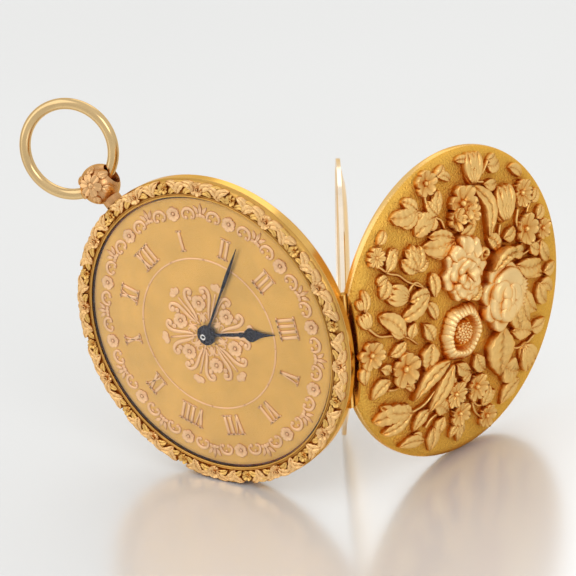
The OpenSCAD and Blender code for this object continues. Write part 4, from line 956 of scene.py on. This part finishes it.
HOUR_ROWS = [
    (0.95, 0.62), (1.6, 0.42), (2.6, 0.40), (4.2, 0.46), (5.2, 0.36), (5.35, 0.70), (5.6, 0.74),
    (5.8, 0.42), (6.1, 0.5), (6.45, 1.35), (6.9, 1.86), (7.3, 1.9), (7.8, 1.5), (8.5, 0.86),
    (9.4, 0.44), (10.4, 0.2), (11.0, 0.06),
]
MINUTE_ROWS = [
    (0.95, 0.44), (2.2, 0.34), (5.2, 0.26), (7.2, 0.3), (8.6, 0.46), (10.0, 0.52), (11.6, 0.38),
    (13.2, 0.2), (14.4, 0.05),
]
hand("spade_hour_hand", HOUR_ROWS, HOUR_Z, HOUR_TURN, "hour", "hour_hand")
hand("leaf_minute_hand", MINUTE_ROWS, MINUTE_Z, MINUTE_TURN, "middle", "minute_hand")
hour_ring = [(0.90, 1.18), (0.90, 1.28), (0.94, 1.30), (1.27, 1.30), (1.32, 1.27), (1.32, 1.18)]
lathe("hour_hand_collar", hour_ring, "hour", [], blued, steps=96)
hub = [
    (0.60, 1.38), (1.34, 1.38), (1.39, 1.42), (1.37, 1.50), (1.26, 1.60), (1.10, 1.66), (1.02, 1.65),
    (0.92, 1.74), (0.70, 1.80), (0.52, 1.84), (0.40, 1.85), (0.02, 1.85), (0.02, 1.60), (0.60, 1.60),
]
lathe("minute_hand_hub", hub, "middle", [], blued, steps=96)
arbor_end = [(0.20, 1.8), (0.42, 1.8), (0.42, 2.14), (0.38, 2.18), (0.26, 2.18), (0.20, 2.13)]
lathe("middle_arbor_end", arbor_end, "middle", [], pin_steel, steps=64)

# %% [markdown]
# The bezel's garland is cast and chased: roses between pairs of curled leaves, in pinkish and in
# yellow gold. No two leaves of hand work are alike, so their lengths and turns vary by a seeded
# random share, which gives the same garland each time. A table lists the leaves on one side of a
# rose, and the other side mirrors it. An Array modifier could repeat one rose round the rim, but
# then all twelve would be the same.

# %% Garland
garland_rose = Relief(on_bezel, -0.3)
garland_yellow = Relief(on_bezel, -0.3)
GARLAND_REPEATS = 12
GARLAND_LEAVES = [
    # degrees from the rose, place across, lean, length, width, in rose gold
    (4.0, 0.50, 30, 2.2, 1.10, True), (3.8, -0.22, -16, 1.8, 0.80, False),
    (7.3, 0.16, -42, 2.3, 1.15, True), (7.6, 0.64, 10, 2.0, 0.80, False),
    (10.9, 0.44, 44, 2.2, 1.05, True), (10.7, -0.24, -12, 1.7, 0.75, False),
]
rng = np.random.default_rng(5)


def bezel_leaf(work, degrees, out, lean, long, wide, height, bend):
    """A curled leaf on the bezel. lean is its turn from the direction round the rim."""
    x = math.radians(degrees) * GARLAND_R
    c, s = math.cos(math.radians(lean)), math.sin(math.radians(lean))
    foot = (x - long / 2 * c, out - long / 2 * s)
    tip = (x + long / 2 * c, out + long / 2 * s)
    work.add(leaf(foot, tip, wide, height, bend, 0.26, 3, 12, True), flare=0.02)


for i in range(GARLAND_REPEATS):
    at = (i + 0.5) * 30
    x = math.radians(at) * GARLAND_R
    for k in range(5):
        a = 72 * k + rng.uniform(-8, 8)
        garland_rose.add(petal(x, 0.24, a, 0.12, 0.92, 0.96, 0.24, 0.48, 0.05, 9), flare=0.02)
    garland_rose.add(spiral(x, 0.24, 0.44, 0.62, 1.7, 40 * i))
    x = math.radians(at + 14.6) * GARLAND_R
    for k in range(4):
        a = 90 * k + 30 + rng.uniform(-10, 10)
        garland_yellow.add(petal(x, 0.2, a, 0.1, 0.72, 0.8, 0.22, 0.42, 0.05, 9), flare=0.02)
    garland_yellow.add(spiral(x, 0.2, 0.36, 0.54, 1.5, 70 * i))
    for s in (-1, 1):
        for d, out, lean, long, wide, pinkish in GARLAND_LEAVES:
            work = garland_rose if pinkish else garland_yellow
            lean = (lean + rng.uniform(-9, 9)) * s
            lean = lean if s > 0 else 180 + lean
            height = (0.5 if pinkish else 0.4) + rng.uniform(-0.04, 0.05)
            stretch = rng.uniform(0.92, 1.08)
            bezel_leaf(work, at + s * d, out, lean, long * stretch, wide, height, 0.16 * s)
garland_rose.make("garland_rose_gold", "case", ["bezel_garland"], leaf_rose)
garland_yellow.make("garland_yellow_gold", "case", [], leaf_yellow)

# %% [markdown]
# The ball under the bow carries a flower on its front, and leaves beside it. It is the same relief
# work as before. Only its place function is another one, which presses it on to the ball.

# %% Ball flower
ball_work = Relief(on_ball, -0.1)
for i in range(6):
    ball_work.add(petal(0, 0.1, 60 * i + 12, 0.3, 1.4, 0.98, 0.16, 0.42, 0.05, 9), flare=0.02)
ball_work.add(dome(0, 0.1, 0.42, 0.42, 0, 0.12, 0.34, 4, 14), wrap=True, flare=0.02)
for a in (20, 75, 135, 200, 262, 322):
    foot, tip = clock(1.3, a), clock(2.35, a + 14)
    ball_work.add(leaf(foot, tip, 1.0, 0.3, 0.1, 0.12, 3, 10, True), flare=0.02)
ball_work.make("ball_flower", "case", ["pendant_flower"], ball_rose)

# %% [markdown]
# The cover is the watch's showpiece: a bouquet chased in high relief. It has three great flowers in
# the middle, a daisy, a carnation and a cabbage rose, and each needs a build of its own. The daisy
# has a fluted rim round a hollow, with a dome of seeds in it. The seeds follow the golden angle, as
# real ones do, which spaces them evenly.


# %% Daisy
GOLDEN_ANGLE = 137.508  # degrees


def daisy(work, x, y, r, height, count=29, seeds=38):
    """A fluted rim of petals round a hollow and a dome of seeds."""
    for i in range(count):
        a = 2 * math.pi * (i + 0.5) / count
        reach = r * (0.98 + 0.05 * math.sin(5.1 * i))
        start = (x + 0.42 * r * math.cos(a), y + 0.42 * r * math.sin(a))
        end = (x + reach * math.cos(a), y + reach * math.sin(a))

        def half(u):
            wide = math.pi / count * r * (0.44 + 0.56 * u) * 1.2
            return wide * np.sqrt(np.clip(1 - np.clip((u - 0.84) / 0.16, 0, 1) ** 2.6, 0.08, 1))

        def rise(u, v):
            up = np.clip((u - 0.06) / 0.40, 0, 1)
            swell = up * up * (3 - 2 * up) - 0.92 * np.clip((u - 0.40) / 0.60, 0, 1) ** 1.5
            return height * (0.10 + 0.90 * swell) * (1 - 0.16 * v * v)

        work.add(ribbon([start, end], half, rise, 14), flare=0.0)
    work.add(dome(x, y, 0.40 * r, 0.40 * r, 0, 0.12 * height, 0.90 * height, 7, 28), wrap=True)
    for i in range(seeds):
        q = 0.37 * r * math.sqrt((i + 0.5) / seeds)
        a = math.radians(GOLDEN_ANGLE * i)
        level = 0.12 * height + 0.78 * height * math.sqrt(max(1 - (q / (0.40 * r)) ** 2, 0))
        bx, by = x + q * math.cos(a), y + q * math.sin(a)
        work.add(dome(bx, by, 0.21, 0.21, 0, level - 0.06, level + 0.22, 4, 10), wrap=True, flare=0.0)


great = Relief(on_cover, -0.15)
daisy(great, 2.3, -2.7, 4.1, 1.5)
print("daisy:", great.count, "points")

# %% [markdown]
# The other two great flowers are rings of petals with frilled edges that roll over. The petals lie
# over each other and leave dark seams. Three smooth domes close the rose's heart. Cloth or
# sculpting could give softer folds, but each petal from a formula stays one clean grid.


# %% Carnation and rose
def frilled(work, x, y, direction, inner, outer, span, low, high, frills=2.5, roll=0.14):
    """A wide petal with a frilled edge that rolls over."""
    u = np.linspace(0, 1, 13)[:, None]
    v = np.linspace(-1, 1, 27)[None, :]
    wave = np.sin(v * frills * math.pi + direction)
    reach = outer * (1 - 0.24 * np.abs(v) ** 2.4) + 0.035 * outer * wave
    rr = inner + (reach - inner) * u
    a = np.radians(direction + span * v * (0.72 + 0.28 * u))
    h = low + (high - low) * np.sin(u * 2.0) ** 1.1 + 0.07 * high * wave * u**2
    h = h + 0.07 * high * v - roll * high * np.clip((u - 0.85) / 0.15, 0, 1) ** 2
    work.add(np.stack([x + rr * np.cos(a), y + rr * np.sin(a), h], -1))


def carnation(work, x, y, r, height):
    """Three rings of frilled petals, loosely thrown open, and three tall ones at the back."""
    for a, size, span in ((62, 1.18, 17), (92, 1.34, 16), (122, 1.22, 17)):
        frilled(work, x, y, a, 0.3 * r, size * r, span, 0.40 * height, 0.92 * height, 1.3, 0.3)
    for ring, (count, inner, outer, low, high) in enumerate((
            (6, 0.30, 1.0, 0.26, 0.62), (4, 0.12, 0.76, 0.46, 0.84), (3, 0.02, 0.50, 0.62, 1.0))):
        for i in range(count):
            a = 360 / count * i + 31 * ring + 11 * math.sin(3.7 * i)
            size = 1 + 0.07 * math.sin(2.3 * i + ring)
            span = 205 / count
            frilled(work, x, y, a, inner * r, outer * r * size, span, low * height, high * height)


def cabbage_rose(work, x, y, r, height):
    """Great smooth petals that close over each other, open petals round them, a frill beside."""
    for a, size, span in ((158, 1.18, 21), (184, 1.30, 21), (210, 1.28, 21), (236, 1.16, 21)):
        frilled(work, x, y, a, 0.5 * r, size * r, span, 0.28 * height, 0.42 * height, 7.5, 0.05)
    for i in range(7):
        a = 20 + 360 / 7 * i
        size = r * (0.95 + 0.05 * math.sin(2.9 * i) + 0.1 * abs(math.sin(math.radians(a))))
        frilled(work, x, y, a, 0.45 * r, size, 33, 0.30 * height, 0.62 * height, 1.2, 0.10)
    for a, inner, outer, span, low, high in (
            (100, 0.02, 0.90, 62, 0.60, 0.92), (215, 0.02, 0.80, 58, 0.58, 0.88),
            (330, 0.02, 0.80, 60, 0.56, 0.86), (40, 0.02, 0.70, 48, 0.68, 0.96),
            (272, 0.02, 0.80, 44, 0.64, 0.98), (165, 0.02, 0.54, 52, 0.74, 1.0)):
        frilled(work, x, y, a, inner * r, outer * r, span, low * height, high * height, 0.7, 0.2)
    for dx, dy, wide, tall, turn_by, top in (
            (0.06, 0.16, 0.24, 0.36, -24, 1.05), (0.12, -0.24, 0.22, 0.34, 14, 1.03),
            (-0.16, -0.02, 0.18, 0.40, 4, 1.02)):
        grid = dome(x + dx * r, y + dy * r, wide * r, tall * r, turn_by, 0.7 * height, top * height, 7, 26)
        work.add(grid, wrap=True)


carnation(great, 1.7, 5.6, 3.95, 2.1)
cabbage_rose(great, -5.6, 0.1, 4.5, 2.5)
great.make("great_flowers", "cover", [], great_gold)

# %% [markdown]
# Everything else on the cover is smaller: leaves, blossoms, buds and stems. They are read from a
# table each, where a row gives the place on the cover in millimetres and the size. Leaves that lie
# over others are listed with more height. Leaves in the upper half have rounder tips. Scattering
# them would be quicker, but each has to stand where the photograph shows it.

# %% Leaves of the cover
flowers = Relief(on_cover, -0.15)
LEAVES = [
    # foot x, y, tip x, y, width, height, bend
    (4.7, 19.3, 2.8, 20.3, 1.0, 0.7, 0.1), (4.3, 19.3, 2.0, 18.1, 0.95, 0.75, -0.12),
    (2.2, 10.2, -1.8, 11.8, 1.4, 0.9, 0.08), (15.6, 13.4, 14.3, 14.9, 1.0, 0.65, 0.1),
    (15.0, 9.6, 13.6, 12.4, 1.3, 0.8, 0.15), (14.8, 9.8, 12.6, 12.0, 1.2, 0.75, -0.12),
    (15.0, 8.6, 16.1, 6.4, 1.6, 0.8, -0.1), (14.8, 8.9, 16.4, 8.3, 1.1, 0.7, 0.1),
    (7.2, 3.9, 7.3, 7.2, 1.5, 0.9, 0.08), (18.9, 5.4, 18.8, 8.3, 0.95, 0.7, 0.12),
    (12.8, 0.2, 16.7, 4.2, 1.9, 0.95, 0.10), (12.6, 0.4, 14.9, 2.6, 1.1, 0.8, -0.16),
    (11.8, -0.4, 10.8, 1.6, 1.5, 0.8, -0.08), (12.7, -0.5, 15.5, -1.6, 1.5, 0.75, -0.12),
    (19.2, -1.7, 19.6, -4.4, 1.3, 0.7, 0.1), (15.4, -4.0, 17.1, -2.9, 1.2, 0.7, 0.1),
    (15.6, -5.0, 18.7, -6.8, 1.7, 0.8, 0.12), (8.3, -2.2, 9.3, -6.2, 2.5, 1.1, 0.0),
    (8.0, -1.9, 9.5, 0.9, 1.6, 1.0, 0.06), (7.2, 0.7, 8.3, 3.4, 1.2, 0.8, 0.1),
    (-3.0, 4.4, -8.8, 5.4, 1.5, 2.5, -0.16), (-3.9, 8.8, -2.2, 16.2, 1.7, 1.25, 0.22),
    (-5.4, 18.1, -8.0, 18.0, 1.5, 0.75, 0.15), (-5.6, 18.8, -7.4, 19.1, 0.9, 0.7, 0.12),
    (-2.2, 19.5, 0.4, 20.3, 0.9, 0.7, 0.08), (-4.2, 15.9, -6.9, 15.4, 1.3, 0.8, 0.1),
    (-4.6, 15.7, -5.4, 14.4, 1.0, 0.75, -0.1), (-10.0, 16.6, -12.5, 14.7, 1.2, 0.7, -0.1),
    (-14.2, 10.5, -15.9, 12.0, 1.3, 0.7, 0.1), (-14.9, 8.0, -16.7, 9.4, 1.5, 0.8, 0.1),
    (-9.2, 3.1, -15.2, 1.5, 2.1, 1.35, 0.08), (-9.8, 1.4, -15.6, -0.3, 1.3, 1.0, -0.06),
    (-15.6, 4.6, -17.5, 1.3, 1.6, 0.9, 0.12), (-16.2, -0.3, -19.1, 0.4, 1.5, 0.8, 0.12),
    (-14.6, -1.4, -16.6, -5.0, 1.9, 1.0, 0.12), (-15.0, -1.6, -18.0, -3.8, 1.5, 0.95, -0.14),
    (-8.6, -1.8, -9.8, -6.6, 2.3, 1.35, 0.1), (-10.2, -1.2, -12.2, -6.6, 2.0, 1.1, 0.1),
    (-10.8, -0.8, -14.2, -5.4, 1.9, 1.0, 0.12), (-5.8, -4.8, -5.2, -11.9, 4.3, 1.45, 0.05),
    (-6.2, -10.8, -9.8, -12.7, 3.0, 1.2, 0.10), (-12.8, -7.6, -16.4, -7.2, 1.7, 0.85, 0.12),
    (-8.2, -6.4, -13.0, -8.2, 2.4, 1.0, -0.08), (5.4, -5.6, 12.0, -9.2, 1.9, 1.5, 0.10),
    (4.4, -6.6, 9.2, -12.0, 2.1, 1.2, -0.05), (8.9, -11.6, 11.7, -13.9, 1.5, 0.85, 0.1),
    (5.4, -13.2, 8.1, -11.2, 2.0, 0.9, 0.08), (6.0, -13.8, 7.0, -16.4, 1.7, 0.85, 0.1),
    (9.6, -16.1, 14.2, -15.4, 1.5, 0.7, 0.08), (10.2, -15.6, 11.6, -14.3, 0.9, 0.65, 0.1),
    (8.0, -14.8, 8.5, -18.2, 1.8, 0.8, -0.08), (-0.2, -6.8, -2.2, -9.9, 1.8, 1.0, 0.1),
    (3.6, -6.9, 0.8, -8.8, 1.6, 1.0, 0.1), (-1.8, -15.2, -3.4, -12.6, 1.7, 0.85, 0.1),
    (-2.4, -15.4, -4.8, -13.9, 1.3, 0.8, -0.1), (2.9, -16.2, 4.7, -17.7, 1.1, 0.75, 0.1),
    (2.9, -16.4, 3.1, -18.9, 1.1, 0.75, -0.1), (2.7, -16.2, 1.5, -17.9, 1.1, 0.7, 0.1),
    (-10.2, -14.4, -6.0, -16.8, 2.2, 0.85, 0.12), (0.8, -9.2, 2.6, -10.4, 1.2, 0.85, 0.1),
    (5.0, -8.4, 3.6, -9.9, 1.2, 0.9, 0.1), (-5.4, 6.2, -3.8, 8.9, 1.6, 1.1, 0.15),
    (-7.0, 7.6, -9.8, 8.3, 1.5, 0.9, 0.12), (-8.9, 5.6, -11.3, 4.4, 1.6, 1.0, 0.1),
    (-12.9, 4.9, -15.3, 3.3, 1.5, 0.9, 0.1), (0.8, 1.6, -1.4, 3.0, 1.4, 1.3, 0.12),
    (11.5, -8.0, 13.3, -6.7, 0.9, 0.7, 0.15), (-12.0, -13.2, -14.4, -11.4, 1.4, 0.8, -0.1),
]
for fx, fy, tx, ty, width, height, bend in LEAVES:
    flowers.add(leaf((fx, fy), (tx, ty), 1.22 * width, height, bend, 0.4 * height, 6, 22, fy > 0))
print("single leaves:", len(LEAVES))

# %% [markdown]
# Some leaves are deeply lobed, like those of an oak or a peony. They share one foot, and each row
# gives that foot, then the tip and the width of every lobe, then the height.

# %% Lobed leaves
LOBED = [
    ((8.6, 15.9), [(13.0, 16.1, 1.7), (10.8, 17.7, 1.2), (11.4, 14.6, 1.4)], 0.85),
    ((5.2, 14.4), [(6.7, 16.6, 1.2), (5.6, 17.0, 1.2), (4.3, 17.4, 1.4)], 0.8),
    ((5.8, 14.3), [(9.0, 15.2, 1.4), (9.4, 12.8, 2.0), (6.8, 12.8, 1.2)], 0.85),
    ((2.6, 10.3), [(8.5, 11.0, 1.8), (7.1, 12.0, 1.3), (7.4, 9.8, 1.4), (6.0, 8.7, 1.4),
                   (4.1, 8.3, 1.3)], 1.0),
    ((8.1, 4.7), [(13.0, 2.6, 1.7), (11.4, 4.6, 1.3), (9.9, 5.5, 1.2)], 0.9),
    ((9.8, 8.3), [(12.2, 10.4, 1.3), (11.4, 11.5, 1.2), (10.2, 11.9, 1.3), (9.0, 11.4, 1.2),
                  (8.1, 10.3, 1.1), (7.7, 9.2, 1.0)], 1.0),
    ((12.0, -10.9), [(17.2, -8.3, 1.4), (18.4, -10.1, 2.0), (16.9, -12.4, 1.4), (14.8, -9.6, 1.2)], 0.95),
]
for foot, tips, height in LOBED:
    lobed_leaf(flowers, foot, tips, height)
print("lobes laid:", sum(len(tips) for _, tips, _ in LOBED))

# %% [markdown]
# The small blossoms come next. They share one function, and a table row gives each its place, its
# size, its count of petals and the depth of its cup, so that no two look alike.

# %% Blossoms
BLOSSOMS = [
    # x, y, radius, petals, height, turn, depth of the cup
    (6.4, 18.9, 1.75, 5, 0.8, 20, 0.45), (18.3, -0.6, 1.95, 6, 0.8, 10, 0.45),
    (12.9, -4.3, 2.4, 5, 1.0, 92, 0.45), (-3.2, -17.4, 1.75, 5, 0.8, 40, 0.5),
    (-0.6, -11.8, 2.0, 6, 1.0, 10, 0.5), (-12.2, 12.4, 2.0, 8, 0.9, 0, 0.5),
    (-12.3, 7.3, 2.3, 5, 1.1, 40, 0.5), (0.4, 14.6, 2.5, 6, 1.1, 15, 0.45),
    (2.0, 12.9, 1.5, 5, 1.2, 50, 0.45), (-1.0, 12.9, 1.4, 5, 1.1, 0, 0.45),
    (3.9, -11.2, 1.95, 8, 1.1, 0, 0.7), (2.8, -14.6, 1.8, 6, 0.95, 30, 0.6),
    (-16.4, 6.1, 1.5, 5, 0.9, 20, 0.5), (16.2, 11.9, 1.35, 9, 0.8, 0, 0.8),
]
for x, y, r, petals, height, turn_by, cup in BLOSSOMS:
    blossom(flowers, x, y, r, petals, height, turn_by, cup)
print("blossoms:", len(BLOSSOMS))

# %% [markdown]
# A bud is a dome wrapped in three petals, one on each side and one over the middle. Two more buds
# are wound spirals. A bud is built as a real one is, so the dark seams fall between its petals.

# %% Buds
BUDS = [
    # x, y, radius, direction of the tip, height
    (13.2, 6.0, 1.5, 25, 1.1), (18.9, 4.1, 1.0, 75, 0.8), (19.4, 6.4, 0.6, 90, 0.6),
    (-7.7, 12.0, 2.1, 95, 1.3), (-2.4, 18.3, 1.8, 100, 1.0), (-11.8, -11.2, 1.9, 240, 1.1),
]
for x, y, r, direction, height in BUDS:
    c, s = math.cos(math.radians(direction)), math.sin(math.radians(direction))
    flowers.add(dome(x, y, 1.15 * r, 0.86 * r, direction, 0.2 * height, 0.85 * height, 6, 20), wrap=True)
    for side in (-0.55, 0.55, 0.0):
        a = math.radians(direction + 90)
        off = side * r
        foot = (x - c * r * 0.95 + off * 0.3 * math.cos(a), y - s * r * 0.95 + off * 0.3 * math.sin(a))
        tip = (x + c * r * 1.3 + off * math.cos(a), y + s * r * 1.3 + off * math.sin(a))
        flowers.add(leaf(foot, tip, 1.15 * r, height, 0.0, 0.55 * height, 2, 12, True))
flowers.add(spiral(-2.2, 18.6, 1.15, 1.15, 1.7, 30))
flowers.add(spiral(-1.9, 7.3, 1.5, 2.1, 1.2, 200, 0.36))
print("buds:", len(BUDS) + 2)

# %% [markdown]
# The stems that tie all this together are laid last. Each is a list of points on the cover, and a
# smooth curve runs through them, since straight pieces would show a kink at each point. Then the
# whole bouquet becomes one piece.

# %% Stems
STEMS = [
    [(6.9, 17.6), (6.8, 16.3), (5.8, 14.6)], [(5.6, 14.2), (4.6, 13.5), (4.2, 12.4), (3.7, 11.3)],
    [(9.8, 16.0), (8.0, 15.5), (6.2, 14.4)], [(11.8, 5.8), (10.2, 6.8), (8.6, 5.4)],
    [(16.0, 10.7), (14.5, 9.3), (12.9, 8.6), (11.5, 7.3), (8.2, 5.3)],
    [(18.6, 3.2), (17.0, 1.6), (14.8, 1.0), (12.4, 0.0), (10.6, -1.6)],
    [(-6.8, 9.6), (-6.2, 8.2), (-5.4, 7.2)], [(-4.2, 17.3), (-5.4, 18.3), (-5.9, 18.9)],
    [(-7.8, -7.0), (-9.0, -9.2), (-12.0, -9.5), (-14.4, -8.6)], [(12.2, -11.0), (9.6, -10.6), (7.2, -9.0)],
    [(0.4, -13.4), (-1.0, -14.9), (-2.8, -15.3)], [(0.2, -14.0), (-0.6, -15.8), (-2.0, -17.2)],
    [(-4.2, 16.2), (-3.0, 16.6), (-2.8, 17.4)], [(-11.0, 10.6), (-10.4, 8.6), (-11.2, 6.0), (-10.8, 3.6)],
    [(-13.8, 10.6), (-12.9, 9.4), (-12.5, 8.0)], [(-16.8, 5.0), (-13.8, 4.2), (-10.2, 3.8)],
    [(9.4, -14.2), (8.2, -13.2), (6.0, -12.8)], [(15.8, -6.4), (14.6, -6.6), (13.6, -6.2)],
]
for points in STEMS:
    flowers.add(stem_line(points, 0.42, 0.6, 18))
flowers.make("chased_bouquet", "cover", ["cover_flowers"], flower_gold)

# %% [markdown]
# The stage is a pale table. Part of its finish is glossy, so the watch throws a warm reflection on
# it, and a faint cloud keeps it from being one flat colour.

# %% Table
floor_mat, tree, shader = new_material("pale_table")
cloud = spread(tree, noise(tree, 6, 2), 0.3, 0.7, 0, 1)
table_white = blended(tree, cloud, (0.80, 0.80, 0.79), (0.812, 0.812, 0.802))
tree.links.new(table_white, shader.inputs["Base Color"])
shader.inputs["Roughness"].default_value = 0.6
gloss = tree.nodes.new("ShaderNodeBsdfGlossy")
gloss.inputs["Roughness"].default_value = 0.22
tree.links.new(table_white, gloss.inputs["Color"])
sheen = tree.nodes.new("ShaderNodeMixShader")
sheen.inputs[0].default_value = 0.40
tree.links.new(shader.outputs[0], sheen.inputs[1])
tree.links.new(gloss.outputs[0], sheen.inputs[2])
tree.links.new(sheen.outputs[0], tree.nodes["Material Output"].inputs["Surface"])
floor_mesh = bpy.data.meshes.new("table_top")
floor_mesh.from_pydata([(-3, -3, 0), (3, -3, 0), (3, 3, 0), (-3, 3, 0)], [], [(0, 1, 2, 3)])
floor_mesh.materials.append(floor_mat)
table_top = bpy.data.objects.new("table_top", floor_mesh)
bpy.context.scene.collection.objects.link(table_top)
print("table:", table_top.name)

# %% [markdown]
# The light is a wide soft sky, a little brighter overhead than at the horizon, and four soft boxes
# that shape the gold: a large key light high on the left, a weak one low in front, one on the right
# and one behind. A picture of a studio round the scene would be quicker, but a soft box can stand
# where the gold needs a bright edge.

# %% Sky and lights
world = bpy.data.worlds.new("soft_sky")
world.use_nodes = True
bpy.context.scene.world = world
tree = world.node_tree
coords = tree.nodes.new("ShaderNodeTexCoord")
split = tree.nodes.new("ShaderNodeSeparateXYZ")
tree.links.new(coords.outputs["Generated"], split.inputs[0])
level = spread(tree, split.outputs["Z"], 0.0, 0.9, 0, 1)
sky = blended(tree, level, (0.86, 0.86, 0.855), (0.98, 0.985, 0.99))
tree.links.new(sky, tree.nodes["Background"].inputs["Color"])
tree.nodes["Background"].inputs["Strength"].default_value = 0.97


def soft_box(name, at, to, size, power):
    """A square soft light at a point in metres, aimed at another."""
    data = bpy.data.lights.new(name, "AREA")
    data.shape = "SQUARE"
    data.size = size
    data.energy = power
    lamp = bpy.data.objects.new(name, data)
    lamp.location = at
    lamp.rotation_euler = (Vector(to) - Vector(at)).to_track_quat("-Z", "Y").to_euler()
    bpy.context.scene.collection.objects.link(lamp)


SUBJECT = (0.01, 0.0, 0.02)  # what the lights are aimed at, in metres
soft_box("key_light", (-0.6, -0.9, 1.25), SUBJECT, 1.5, 5.5)
soft_box("front_light", (-0.95, -1.15, 0.25), SUBJECT, 0.8, 1.7)
soft_box("side_light", (1.35, -0.6, 0.8), (0.02, 0.0, 0.02), 0.7, 3.5)
soft_box("back_light", (-0.3, 1.2, 1.1), SUBJECT, 0.9, 2.0)
bpy.context.scene.view_settings.view_transform = "Standard"
